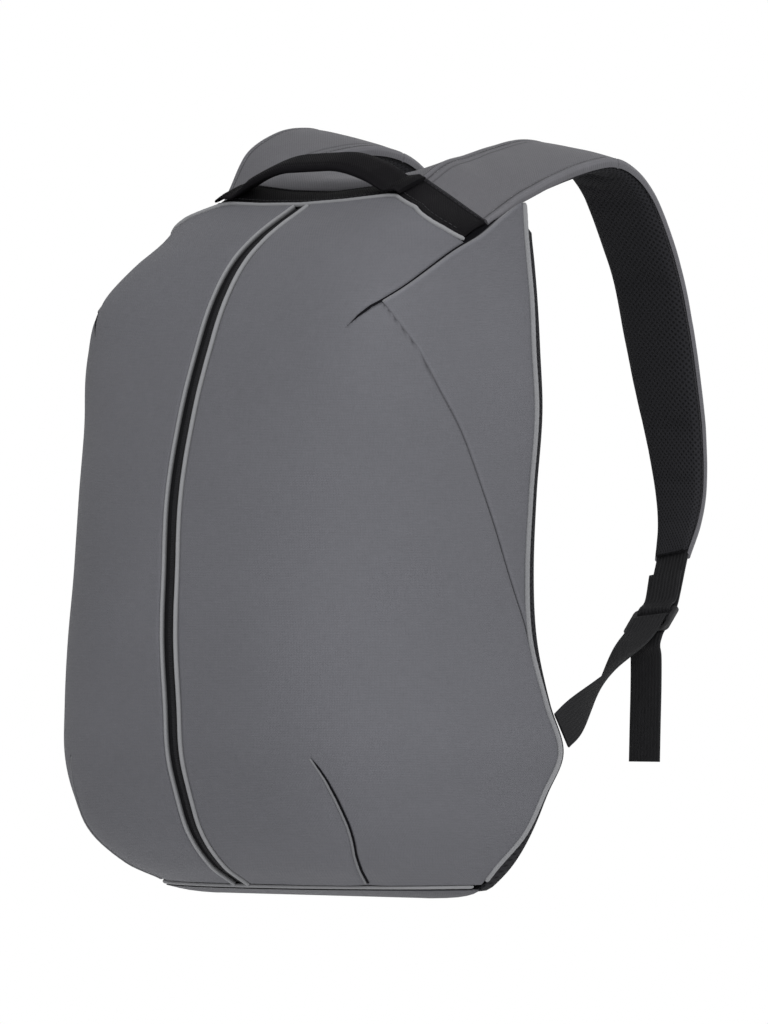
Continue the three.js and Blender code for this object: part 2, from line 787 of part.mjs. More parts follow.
// Padded panel that rests on the wearer's back
function backPanel() {
  const across = [-1, -0.93, -0.72, -0.4, 0, 0.4, 0.72, 0.93, 1];
  const heights = [BACK_ROWS.rows[0][0], ...SEAM_HEIGHTS.slice(1), 1.005, lastRow(BACK_ROWS).height];
  const arch = BACK_ARCH_SHARE * SHELL_HEIGHT;
  const crown = heights[heights.length - 1] * SHELL_HEIGHT;
  const loops = heights.map((height) => {
    const level = height * SHELL_HEIGHT;
    const front = [];
    const back = [];
    across.forEach((s) => {
      const reach = s * sectionAt(level).half;
      const z = level < arch ? level : arch + (level - arch) / (crown - arch) * (backTop(reach) - arch);
      const section = sectionAt(z);
      const { centre, edge } = readTable(BACK_ROWS, z / SHELL_HEIGHT);
      const x = s * (section.half + 0.8);
      const blend = Math.abs(s) ** 4;
      const face = (centre + (edge - centre) * blend) * SHELL_DEPTH;
      const seam = section.edge + BACK_SEAM;
      const inside = Math.min(face - BACK_THICK, seam);
      const frontY = Math.abs(s) > 0.9 ? seam : inside + (seam - inside) * blend;
      const depth = Math.abs(s) === 1 ? Math.max(face - 2, seam + 2.5) : Math.max(face, seam + 3.5);
      front.push(new THREE.Vector3(x, Math.min(frontY, depth - 2.4), z));
      back.push(new THREE.Vector3(x, depth, z));
    });
    return [...front, ...back.reverse()];
  });
  return loft(loops);
}

// Where the lower webbing is sewn to the side, just outside the back seam
function anchorPoint() {
  const z = ANCHOR_SHARE * SHELL_HEIGHT;
  const section = sectionAt(z);
  return new THREE.Vector3(section.half + PIPE_RADIUS + WEBBING_THICK / 2, section.edge + 3, z);
}

// End of the strap pad: its middle, the way on and the way across
function strapTip() {
  const tip = strapEdges(1);
  const back = strapEdges(0.99);
  const middle = tip.inner.clone().add(tip.outer).multiplyScalar(0.5);
  const before = back.inner.clone().add(back.outer).multiplyScalar(0.5);
  const onward = middle.clone().sub(before).normalize();
  const across = tip.outer.clone().sub(tip.inner).normalize();
  return { middle, onward, across };
}

// Ladder lock: its centre, the ways along the strap, out of its face and across it
function lockFrame() {
  const { middle, onward } = strapTip();
  const anchor = anchorPoint();
  const upper = anchor.clone().sub(middle).normalize().add(onward).normalize();
  const centre = middle.clone().addScaledVector(upper, LOCK_REACH);
  const along = anchor.clone().sub(centre).normalize().add(upper).normalize();
  const across = new THREE.Vector3(1, 0, 0).addScaledVector(along, -along.x).normalize();
  const out = across.clone().cross(along);
  const place = (a, n) => centre.clone().addScaledVector(along, a).addScaledVector(out, n);
  return { centre, along, across, out, place };
}

// Plastic frame with two slots
function ladderLock() {
  const outline = new THREE.Shape();
  const w = LOCK_HALF_WIDTH;
  const cut = 2.5;
  outline.moveTo(-w + cut, LOCK_TOP);
  outline.lineTo(w - cut, LOCK_TOP);
  outline.lineTo(w, LOCK_TOP + cut);
  outline.lineTo(w, LOCK_BOTTOM - cut);
  outline.lineTo(w - cut, LOCK_BOTTOM);
  outline.lineTo(-w + cut, LOCK_BOTTOM);
  outline.lineTo(-w, LOCK_BOTTOM - cut);
  outline.lineTo(-w, LOCK_TOP + cut);
  outline.closePath();
  const slot = (from, to) => {
    const hole = new THREE.Path();
    hole.moveTo(-LOCK_SLOT_HALF, from);
    hole.lineTo(-LOCK_SLOT_HALF, to);
    hole.lineTo(LOCK_SLOT_HALF, to);
    hole.lineTo(LOCK_SLOT_HALF, from);
    hole.closePath();
    outline.holes.push(hole);
  };
  slot(LOCK_TOP + LOCK_BAR, -LOCK_BAR / 2);
  slot(LOCK_BAR / 2, LOCK_BOTTOM - LOCK_BAR);
  const geometry = new THREE.ExtrudeGeometry(outline, { depth: LOCK_THICK, bevelEnabled: false });
  geometry.translate(0, 0, -LOCK_THICK / 2);
  const { centre, along, across, out } = lockFrame();
  geometry.applyMatrix4(new THREE.Matrix4().makeBasis(across, along, out));
  geometry.translate(centre.x, centre.y, centre.z);
  geometry.deleteAttribute('uv');
  geometry.computeVertexNormals();
  return geometry;
}

// Short webbing from the end of the pad, folded round the lock's top bar
function strapLoop() {
  const frame = lockFrame();
  const { middle, onward, across } = strapTip();
  const out = across.clone().cross(onward).normalize();
  const start = middle.clone().addScaledVector(onward, CLEARANCE + 1.4).addScaledVector(out, -COVER_WALL - CLEARANCE);
  const bend = start.clone().addScaledVector(onward, 8);
  const path = [start, bend];
  LOOP_FOLD.rows.forEach(([along, proud]) => path.push(frame.place(along, proud)));
  const back = lastRow(LOOP_FOLD);
  path.push(bend.clone().lerp(frame.place(back.along, back.proud), 0.25).addScaledVector(frame.out, -3.4));
  const widths = path.map((point, i) => (i < 2 ? across : frame.across));
  return webbing(path, widths, WEBBING_WIDTH - 1);
}

// Long webbing from the side seam to the lock and round its middle bar
function lowerWebbing() {
  const frame = lockFrame();
  const behind = frame.place(LOCK_BOTTOM + 3, -2.7);
  const anchor = anchorPoint();
  const run = behind.clone().sub(anchor);
  const flat = new THREE.Vector3(1, 0, 0);
  const upright = run.clone().normalize().cross(flat).negate();
  const path = WEBBING_TWIST.rows.map(([way]) => {
    const point = anchor.clone().addScaledVector(run, way);
    point.x += 5 * Math.sin(Math.PI * way) * (1 - way);
    return point;
  });
  const widths = WEBBING_TWIST.rows.map(([, turn]) => flat.clone().multiplyScalar(Math.cos(turn * DEG))
    .addScaledVector(upright, Math.sin(turn * DEG)));
  BAR_WRAP.rows.forEach(([along, proud]) => {
    path.push(frame.place(along, proud));
    widths.push(frame.across);
  });
  return { path, widths };
}

// The webbing with its free end hanging straight down from the lock
function adjusterWebbing() {
  const { path, widths } = lowerWebbing();
  const frame = lockFrame();
  const bend = frame.place(LOCK_BOTTOM + 2, 3.1);
  path.push(bend);
  widths.push(frame.across);
  TAIL_FALL.rows.forEach(([back, down]) => {
    path.push(new THREE.Vector3(bend.x + 0.5, bend.y + back, bend.z - down * TAIL_LENGTH));
    widths.push(new THREE.Vector3(1, 0, 0));
  });
  return webbing(path, widths);
}

// Colours and surfaces
function material(colour, roughness) {
  return new THREE.MeshStandardMaterial({ color: colour, roughness, metalness: 0 });
}
const greyCloth = () => material(0x6d6e72, 0.85);
const paleEdge = () => material(0x8e8f93, 0.8);
const blackCloth = () => material(0x1d1d21, 0.8);
const blackWeb = () => material(0x222226, 0.75);
const blackPlastic = () => material(0x151517, 0.45);

const bag = new THREE.Group();
bag.name = 'anti_theft_backpack';
const wornFace = readTable(BACK_ROWS, WEAR_HEIGHT / SHELL_HEIGHT).centre * SHELL_DEPTH;
const origin = new THREE.Vector3(0, wornFace, WEAR_HEIGHT);

function add(name, geometry, surface) {
  geometry.translate(-origin.x, -origin.y, -origin.z);
  const mesh = new THREE.Mesh(geometry, surface);
  mesh.name = name;
  bag.add(mesh);
}

// A piece on the right, and on the left its mirror image with the drape of the left strap
function addPair(name, build, surface) {
  add(`${name}_right`, build(0), surface());
  add(`${name}_left`, mirrored(build(1)), surface());
}

addPair('front_panel', frontPanel, greyCloth);
addPair('side_wing', sideWing, greyCloth);
add('centre_strip', centreStrip(), blackCloth());
addPair('centre_welt', centreWelt, paleEdge);
addPair('side_piping', sidePiping, paleEdge);
add('top_piping', topPiping(), paleEdge());
add('base_piping', basePiping(), paleEdge());
add('base_panel', basePanel(), greyCloth());
add('top_band', topBand(), blackCloth());
add('carry_handle', handle(), blackCloth());
add('yoke', yoke(), greyCloth());
add('back_panel', backPanel(), blackCloth());
addPair('strap_cover', strapCover, greyCloth);
addPair('strap_pad', strapPad, blackCloth);
addPair('strap_loop', strapLoop, blackWeb);
addPair('ladder_lock', ladderLock, blackPlastic);
addPair('adjuster_webbing', adjusterWebbing, blackWeb);

export default bag;
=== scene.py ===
"""Looks of a backpack with a smooth curved shell: cloth, seams, padding, webbing, light and camera.

Shapes are worked out in millimetres with the base at z = 0, then moved to the frame's origin on the back panel.
+Z is up, -Y is the outer front, +Y is the side of the back panel, +X is the right half.
"""

import math

import bpy
import numpy as np
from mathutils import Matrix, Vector, kdtree, noise

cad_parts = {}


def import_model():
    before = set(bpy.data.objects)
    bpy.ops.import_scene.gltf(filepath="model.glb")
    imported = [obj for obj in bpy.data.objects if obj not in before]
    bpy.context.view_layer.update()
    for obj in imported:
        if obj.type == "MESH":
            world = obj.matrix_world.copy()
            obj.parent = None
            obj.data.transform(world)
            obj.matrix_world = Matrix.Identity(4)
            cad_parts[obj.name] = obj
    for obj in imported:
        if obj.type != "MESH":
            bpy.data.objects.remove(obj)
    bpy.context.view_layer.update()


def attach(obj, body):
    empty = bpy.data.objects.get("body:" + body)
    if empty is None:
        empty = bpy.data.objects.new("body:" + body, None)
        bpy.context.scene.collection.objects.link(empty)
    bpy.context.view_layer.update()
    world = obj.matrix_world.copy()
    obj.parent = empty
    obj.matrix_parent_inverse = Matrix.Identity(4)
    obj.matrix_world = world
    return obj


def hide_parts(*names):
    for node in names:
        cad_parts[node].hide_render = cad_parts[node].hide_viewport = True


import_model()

# Main sizes
SHELL_HEIGHT = 431.0
HALF_WIDTH = 151.0
SHELL_DEPTH = 169.0
WEAR_HEIGHT = 330.0
PIPE_RADIUS = 1.7
STRAP_FORWARD = 197.0
STRIP_HALF = 4.0
WELT_WIDTH = 3.0
BASE_THICK = 5.8
BASE_CORD_RADIUS = 1.2
BASE_CORD = BASE_THICK + BASE_CORD_RADIUS + 0.4
BACK_SEAM = 2.5

# Height, half width, front depth, back edge (shares of the main sizes) and squareness of each shell section
SECTIONS = np.array([
    [0.0000, 0.757, 0.537, -0.110, 2.0],
    [0.0186, 0.810, 0.608, -0.098, 2.1],
    [0.0464, 0.867, 0.739, -0.072, 2.8],
    [0.0928, 0.934, 0.855, 0.012, 3.5],
    [0.1508, 0.971, 0.923, 0.082, 3.7],
    [0.2088, 1.000, 0.969, 0.143, 3.6],
    [0.2784, 0.984, 0.983, 0.082, 3.5],
    [0.3712, 0.965, 1.000, 0.012, 3.2],
    [0.4640, 0.960, 0.991, 0.000, 3.0],
    [0.5800, 0.969, 0.971, 0.012, 2.9],
    [0.6961, 0.977, 0.901, 0.036, 3.1],
    [0.7889, 0.942, 0.816, 0.056, 4.1],
    [0.8585, 0.899, 0.734, 0.090, 4.9],
    [0.9142, 0.855, 0.629, 0.117, 4.0],
    [0.9559, 0.810, 0.496, 0.150, 3.7],
    [1.0000, 0.768, 0.296, 0.183, 5.2],
    [1.0209, 0.745, 0.201, 0.195, 5.2],
])

# Row number, height at the centre, share of the half girth at the outer edge and height there
FRONT_ROWS = np.array([
    [0, 0.0209, 1.000, 0.0209],
    [1, 0.0348, 1.000, 0.0348],
    [2, 0.0534, 1.000, 0.0534],
    [3, 0.0789, 1.000, 0.0789],
    [4, 0.1160, 1.000, 0.1160],
    [5, 0.1670, 1.000, 0.1624],
    [6, 0.2274, 1.000, 0.2135],
    [7, 0.3016, 1.000, 0.2900],
    [8, 0.3400, 1.000, 0.3350],
    [9, 0.3782, 0.995, 0.3782],
    [10, 0.4408, 0.957, 0.4408],
    [11, 0.5151, 0.897, 0.5151],
    [12, 0.5916, 0.826, 0.5916],
    [13, 0.6613, 0.750, 0.6659],
    [14, 0.7239, 0.680, 0.7239],
    [15, 0.7842, 0.608, 0.7842],
    [16, 0.8399, 0.544, 0.8237],
    [17, 0.8910, 0.500, 0.8515],
    [18, 0.9327, 0.548, 0.8701],
    [19, 0.9698, 0.640, 0.9072],
    [20, 1.0023, 0.712, 0.9350],
])
CORNER_ROW = 17

# Height and share of the half girth along the front edge of the side wing
WING_LOW = np.array([
    [0.3700, 0.999],
    [0.4020, 0.985],
    [0.4408, 0.957],
    [0.5151, 0.897],
    [0.5916, 0.826],
    [0.6659, 0.750],
    [0.7239, 0.680],
    [0.7842, 0.608],
    [0.8237, 0.544],
    [0.8515, 0.500],
])
WING_HIGH = np.array([
    [0.8515, 0.500],
    [0.8701, 0.548],
    [0.9072, 0.640],
    [0.9310, 0.707],
    [0.9530, 0.790],
    [0.9820, 0.880],
    [1.0040, 0.965],
])

# Top seam: across / HALF_WIDTH, height / SHELL_HEIGHT
RIM = np.array([
    [0.000, 1.0023],
    [0.240, 1.0050],
    [0.440, 1.0100],
    [0.490, 1.0090],
    [0.640, 0.9903],
    [0.714, 0.9726],
    [0.758, 0.9605],
    [0.812, 0.9420],
])
RIM_END = RIM[-1, 0] * HALF_WIDTH

# Back edge of the band: across and forward / HALF_WIDTH, height / SHELL_HEIGHT
BAND_BACK = np.array([
    [0.000, -0.093, 1.0255],
    [0.240, -0.095, 1.0310],
    [0.420, -0.099, 1.0400],
    [0.470, -0.099, 1.0418],
    [0.791, -0.046, 0.9710],
])

# Strap: row, inner edge across, forward, up, outer edge across, forward, up, pad fullness, and how much higher
# the outer edge of the left strap lies
STRAP_ROWS = np.array([
    [0, 0.470, -0.074, 1.0418, 0.791, -0.034, 0.9710, 0.10, 0.000],
    [1, 0.464, 0.025, 1.0650, 0.788, 0.061, 0.9940, 0.28, 0.046],
    [2, 0.457, 0.127, 1.0760, 0.782, 0.142, 1.0120, 0.55, 0.086],
    [3, 0.437, 0.254, 1.0905, 0.775, 0.279, 1.0360, 0.90, 0.094],
    [4, 0.417, 0.386, 1.1028, 0.768, 0.406, 1.0550, 1.00, 0.085],
    [5, 0.407, 0.482, 1.1060, 0.765, 0.508, 1.0677, 1.00, 0.066],
    [6, 0.404, 0.584, 1.1002, 0.762, 0.609, 1.0746, 1.00, 0.044],
    [7, 0.402, 0.685, 1.0819, 0.762, 0.706, 1.0645, 1.00, 0.030],
    [8, 0.397, 0.787, 1.0431, 0.768, 0.797, 1.0315, 1.00, 0.012],
    [9, 0.397, 0.868, 0.9838, 0.781, 0.868, 0.9745, 1.00, 0.000],
    [10, 0.411, 0.934, 0.9142, 0.795, 0.924, 0.9072, 1.00, 0.000],
    [11, 0.430, 0.970, 0.8353, 0.811, 0.959, 0.8329, 1.00, 0.000],
    [12, 0.464, 0.990, 0.7564, 0.825, 0.982, 0.7564, 1.00, 0.000],
    [13, 0.523, 0.997, 0.6775, 0.841, 0.995, 0.6775, 1.00, 0.000],
    [14, 0.593, 0.975, 0.6032, 0.861, 0.980, 0.6009, 1.00, 0.000],
    [15, 0.669, 0.924, 0.5383, 0.881, 0.934, 0.5452, 0.90, 0.000],
    [16, 0.737, 0.845, 0.4826, 0.898, 0.862, 0.4933, 0.60, 0.000],
])

# Back panel: height, then its face at the centre and at the side / SHELL_DEPTH
BACK_ROWS = np.array([
    [0.006, 0.020, -0.030],
    [0.046, 0.075, 0.035],
    [0.093, 0.098, 0.075],
    [0.151, 0.112, 0.130],
    [0.209, 0.118, 0.185],
    [0.278, 0.112, 0.130],
    [0.371, 0.100, 0.075],
    [0.464, 0.092, 0.062],
    [0.580, 0.092, 0.070],
    [0.696, 0.100, 0.095],
    [0.789, 0.122, 0.118],
    [0.859, 0.150, 0.148],
    [0.914, 0.178, 0.175],
    [0.956, 0.205, 0.205],
    [1.000, 0.240, 0.240],
    [1.034, 0.262, 0.262],
])

# Darts sewn into the front panel: share of the half girth and height in mm
UPPER_DART = np.array([[0.423, 350.0], [0.450, 357.5], [0.477, 363.5], [0.500, 367.0]])
LOWER_DART = np.array([[0.352, 88.5], [0.3685, 82.3], [0.3915, 73.7], [0.415, 63.7], [0.452, 46.6], [0.487, 28.0],
                       [0.520, 15.3], [0.536, 9.8]])


def curve(rows, value):
    """Smooth curve through a table, read at values of its first column."""
    value = np.asarray(value, float)
    x = rows[:, 0]
    i = np.clip(np.searchsorted(x, value, side="left") - 1, 0, len(x) - 2)
    before, a, b, after = rows[np.maximum(i - 1, 0)], rows[i], rows[i + 1], rows[np.minimum(i + 2, len(x) - 1)]
    span = (b[..., 0] - a[..., 0])[..., None]
    t = (value - a[..., 0])[..., None] / span
    slope_a = (b - before) / (b[..., 0] - before[..., 0])[..., None] * span
    slope_b = (after - a) / (after[..., 0] - a[..., 0])[..., None] * span
    t2, t3 = t * t, t * t * t
    return (2 * t3 - 3 * t2 + 1) * a + (t3 - 2 * t2 + t) * slope_a + (3 * t2 - 2 * t3) * b + (t3 - t2) * slope_b


def straight(rows, value):
    """Straight lines through a table, read at values of its first column."""
    return np.stack([np.interp(value, rows[:, 0], rows[:, k]) for k in range(rows.shape[1])], -1)


def unit(v):
    return v / np.maximum(np.linalg.norm(v, axis=-1, keepdims=True), 1e-9)


def smooth(x):
    x = np.clip(x, 0, 1)
    return x * x * (3 - 2 * x)


ORIGIN = np.array([0.0, curve(BACK_ROWS, WEAR_HEIGHT / SHELL_HEIGHT)[1] * SHELL_DEPTH, WEAR_HEIGHT])


def section(z):
    row = curve(SECTIONS, np.asarray(z, float) / SHELL_HEIGHT)
    edge = row[..., 3] * SHELL_DEPTH
    return row[..., 1] * HALF_WIDTH, edge, row[..., 2] * SHELL_DEPTH + edge, row[..., 4]


def at_angle(turn, z):
    half, edge, deep, square = section(z)
    c, d = np.cos(turn), np.sin(turn)
    reach = (np.abs(c / half) ** square + np.abs(d / deep) ** square) ** (-1 / square)
    return np.stack([reach * c, edge - reach * d, np.broadcast_to(z, c.shape).astype(float)], -1)


LEVEL_STEP = 1.5
LEVELS = np.arange(-6.0, 452.0, LEVEL_STEP)
SHARES = np.linspace(0, 1, 201)


def girth_tables():
    """Angle at each share of the half girth, and the half girth, for each level."""
    turn = np.linspace(np.pi / 2, 0, 321)
    angles, girths = [], []
    for z in LEVELS:
        run = np.linalg.norm(np.diff(at_angle(turn, np.full(turn.shape, z)), axis=0), axis=1)
        length = np.concatenate([[0], np.cumsum(run)])
        angles.append(np.interp(SHARES * length[-1], length, turn))
        girths.append(length[-1])
    return np.array(angles), np.array(girths)


ANGLES, GIRTHS = girth_tables()


def girth(z):
    return np.interp(z, LEVELS, GIRTHS)


def turn_at(u, z):
    a = np.clip((z - LEVELS[0]) / LEVEL_STEP, 0, len(LEVELS) - 1.001)
    b = np.clip(u, 0, 0.99999) * (len(SHARES) - 1)
    i, j = a.astype(int), b.astype(int)
    s, t = a - i, b - j
    low = ANGLES[i, j] * (1 - t) + ANGLES[i, j + 1] * t
    high = ANGLES[i + 1, j] * (1 - t) + ANGLES[i + 1, j + 1] * t
    return low * (1 - s) + high * s


def shell(u, z, proud=0.0):
    """Points of the shell and the directions out of it."""
    u, z = np.broadcast_arrays(np.asarray(u, float), np.asarray(z, float))
    turn = turn_at(u, z)
    along = at_angle(turn - 0.002, z) - at_angle(turn + 0.002, z)
    up = at_angle(turn, z + 0.3) - at_angle(turn, z - 0.3)
    out = unit(np.cross(along, up))
    return at_angle(turn, z) + out * np.asarray(proud)[..., None], out


def around_at(across, z):
    """Share of the half girth at a distance from the centre plane."""
    across, z = np.broadcast_arrays(np.asarray(across, float), np.asarray(z, float))
    low, high = np.zeros(z.shape), np.ones(z.shape)
    for _ in range(34):
        middle = (low + high) / 2
        short = at_angle(turn_at(middle, z), z)[..., 0] < across
        low, high = np.where(short, middle, low), np.where(short, high, middle)
    return (low + high) / 2


def marks(length, step, *clusters):
    """Places from 0 to 1 along a length in mm, with finer steps around each cluster."""
    near = np.array([0, 0.35, 0.7, 1.1, 1.6, 2.2, 3.0, 4.0, 5.4])
    fine = [c + side * near / length for c in clusters for side in (-1, 1)]
    fine = np.concatenate([*fine, [0.0, 1.0]])
    fine = fine[(fine >= 0) & (fine <= 1)]
    coarse = np.linspace(0, 1, max(2, round(length / step)) + 1)
    far = np.min(np.abs(coarse[:, None] - fine[None, :]), axis=1) > 0.55 * step / length
    both = np.sort(np.concatenate([fine, coarse[far]]))
    return both[np.concatenate([[True], np.diff(both) > 0.12 / length])]


def fine_line(points, step=0.4):
    """The same line with points close together."""
    run = np.concatenate([[0], np.cumsum(np.linalg.norm(np.diff(points, axis=0), axis=1))])
    wanted = np.linspace(0, run[-1], max(2, int(run[-1] / step)))
    return np.stack([np.interp(wanted, run, points[:, k]) for k in range(3)], -1)


def rounded(points, step=2.0):
    """Smooth curve through points, at about equal steps."""
    rows = np.column_stack([np.arange(len(points)), points])
    dense = curve(rows, np.linspace(0, len(points) - 1, len(points) * 24))[:, 1:]
    run = np.concatenate([[0], np.cumsum(np.linalg.norm(np.diff(dense[:, :3], axis=0), axis=1))])
    wanted = np.linspace(0, run[-1], max(3, round(run[-1] / step) + 1))
    return np.stack([np.interp(wanted, run, dense[:, k]) for k in range(dense.shape[1])], -1)


def away_from(points, line):
    """Distance of each point from a line, and the share of the line's length where it is nearest."""
    dense = fine_line(line)
    tree = kdtree.KDTree(len(dense))
    for k, p in enumerate(dense):
        tree.insert(p, k)
    tree.balance()
    found = [tree.find(p) for p in points.reshape(-1, 3)]
    distance = np.array([f[2] for f in found]).reshape(points.shape[:-1])
    place = np.array([f[1] for f in found]).reshape(points.shape[:-1]) / (len(dense) - 1)
    return distance, place


def wander(points, size, seed):
    """Slow noise over points, from about -1 to 1, on a length scale in mm."""
    shift = Vector((seed * 17.3, seed * -9.1, seed * 5.7))
    flat = [noise.noise(Vector(p) / size + shift) for p in points.reshape(-1, 3)]
    return np.array(flat).reshape(points.shape[:-1])


def sunk(distance, depth, width):
    """Depth of a sewn groove: a sharp bottom with rounded shoulders."""
    return depth * (1 - np.clip(distance / width, 0, 1)) ** 2


# Meshes

def build(name, verts, faces, uvs, shade, surface, side=1, sharp=48):
    """Mesh object from points in mm, with its surface map in metres and a painted shade or highlight value at each
    point.
    """
    verts = np.array(verts, float)
    faces = [tuple(f) for f in faces]
    if side < 0:
        verts[:, 0] *= -1
        faces = [f[::-1] for f in faces]
    mesh = bpy.data.meshes.new(name)
    mesh.from_pydata(((verts - ORIGIN) / 1000).tolist(), [], faces)
    mesh.update()
    index = np.zeros(len(mesh.loops), int)
    mesh.loops.foreach_get("vertex_index", index)
    layer = mesh.uv_layers.new(name="UVMap")
    layer.data.foreach_set("uv", (np.array(uvs, float)[index] / 1000).ravel())
    tone = mesh.attributes.new("shade", "FLOAT", "POINT")
    tone.data.foreach_set("value", np.array(shade, np.float32).ravel())
    mesh.polygons.foreach_set("use_smooth", np.ones(len(mesh.polygons), bool))
    mesh.set_sharp_from_angle(angle=math.radians(sharp))
    mesh.materials.append(surface)
    piece = bpy.data.objects.new(name, mesh)
    bpy.context.scene.collection.objects.link(piece)
    return piece


def grid_faces(rows, cols, start=0, flip=False):
    k = np.arange(rows * cols).reshape(rows, cols) + start
    quads = np.stack([k[:-1, :-1], k[:-1, 1:], k[1:, 1:], k[1:, :-1]], -1).reshape(-1, 4)
    return quads[:, ::-1] if flip else quads


def outward(verts, faces):
    """Faces turned so that the closed mesh faces out."""
    total = 0.0
    for f in faces:
        a, rest = verts[f[0]], f[1:]
        for b, c in zip(rest, rest[1:]):
            total += float(np.dot(a, np.cross(verts[b], verts[c])))
    return faces if total > 0 else [tuple(f)[::-1] for f in faces]


def thick(points, outs, wall, uvs, shade):
    """Closed sheet of a thickness under a grid of points."""
    rows, cols = points.shape[:2]
    inner = points - outs * wall
    verts = np.concatenate([points.reshape(-1, 3), inner.reshape(-1, 3)])
    count = rows * cols
    k = np.arange(count).reshape(rows, cols)
    ring = np.concatenate([k[0, :-1], k[:-1, -1], k[-1, :0:-1], k[:0:-1, 0]])
    after = np.roll(ring, -1)
    rim = np.stack([ring, ring + count, after + count, after], -1)
    faces = np.concatenate([grid_faces(rows, cols), grid_faces(rows, cols, count, True), rim])
    faces = outward(verts, [tuple(f) for f in faces.tolist()])
    uvs = np.concatenate([uvs.reshape(-1, 2)] * 2)
    shade = np.concatenate([shade.ravel(), np.zeros(count)])
    return verts, faces, uvs, shade


def lofted(loops, shade=None, scale=None):
    """Closed solid through loops of points, with a fan at each end."""
    loops = np.array(loops)
    rows, cols = loops.shape[:2]
    k = np.arange(rows * cols).reshape(rows, cols)
    beside = np.roll(k, -1, axis=1)
    quads = np.stack([k[:-1], beside[:-1], beside[1:], k[1:]], -1).reshape(-1, 4).tolist()
    verts = np.concatenate([loops.reshape(-1, 3), [loops[0].mean(0)], [loops[-1].mean(0)]])
    first, last = rows * cols, rows * cols + 1
    fans = [(first, k[0, (j + 1) % cols], k[0, j]) for j in range(cols)]
    fans += [(last, k[-1, j], k[-1, (j + 1) % cols]) for j in range(cols)]
    faces = outward(verts, [tuple(f) for f in quads] + fans)
    middle = loops.mean(1)
    run = np.concatenate([[0], np.cumsum(np.linalg.norm(np.diff(middle, axis=0), axis=1))])
    step = np.linalg.norm(np.roll(loops, -1, axis=1) - loops, axis=-1).mean(0)
    girths = np.concatenate([[0], np.cumsum(step)])[:-1]
    uv = np.stack(np.broadcast_arrays(girths[None, :], run[:, None]), -1).reshape(-1, 2)
    uv = np.concatenate([uv, [[0, run[0]]], [[0, run[-1]]]])
    tone = np.zeros(len(verts))
    if shade is not None:
        tone[:rows * cols] = np.asarray(shade).ravel()
    return verts, faces, uv, tone


def tube(path, radius, sides=12, ripple=0.0):
    """Round cord along a path."""
    ahead = np.roll(path, -1, axis=0)
    behind = np.roll(path, 1, axis=0)
    ahead[-1], behind[0] = path[-1], path[0]
    along = unit(ahead - behind)
    side = unit(np.cross(np.array([0.35, 1.0, 0.2]), along))
    other = np.cross(along, side)
    turn = np.arange(sides) / sides * 2 * np.pi
    run = np.concatenate([[0], np.cumsum(np.linalg.norm(np.diff(path, axis=0), axis=1))])
    r = radius * (1 + ripple * np.sin(run * 2 * np.pi / 4.7))
    r[0] *= 0.7
    r[-1] *= 0.7
    loops = path[:, None] + r[:, None, None] * (np.cos(turn)[None, :, None] * side[:, None]
                                                + np.sin(turn)[None, :, None] * other[:, None])
    return lofted(loops)


def stitches(lines, pitch=3.4, length=2.3, radius=0.26):
    """Thread along lines: each line is points with the directions out of the cloth."""
    verts, faces, uvs = [], [], []
    for points, outs in lines:
        run = np.concatenate([[0], np.cumsum(np.linalg.norm(np.diff(points, axis=0), axis=1))])
        starts = np.arange(pitch / 2, run[-1] - length, pitch)
        for s in starts:
            ends = []
            for t in (s, s + length / 2, s + length):
                p = np.array([np.interp(t, run, points[:, k]) for k in range(3)])
                n = unit(np.array([np.interp(t, run, outs[:, k]) for k in range(3)]))
                ends.append((p, n))
            along = unit(ends[2][0] - ends[0][0])
            base = len(verts)
            for k, (p, n) in enumerate(ends):
                side = np.cross(along, n)
                lift = radius * (0.9 if k == 1 else 0.1)
                r = radius * (1.0 if k == 1 else 0.7)
                verts += [p + n * (lift + r), p + side * r + n * lift, p + n * (lift - r), p - side * r + n * lift]
            uvs += [(0, s)] * 12
            for k in range(2):
                for j in range(4):
                    m = (j + 1) % 4
                    faces.append((base + 4 * k + j, base + 4 * k + m, base + 4 * k + 4 + m, base + 4 * k + 4 + j))
            faces.append((base + 3, base + 2, base + 1, base))
            faces.append((base + 8, base + 9, base + 10, base + 11))
    verts = np.array(verts)
    return verts, faces, np.array(uvs, float), np.zeros(len(verts))


# Materials

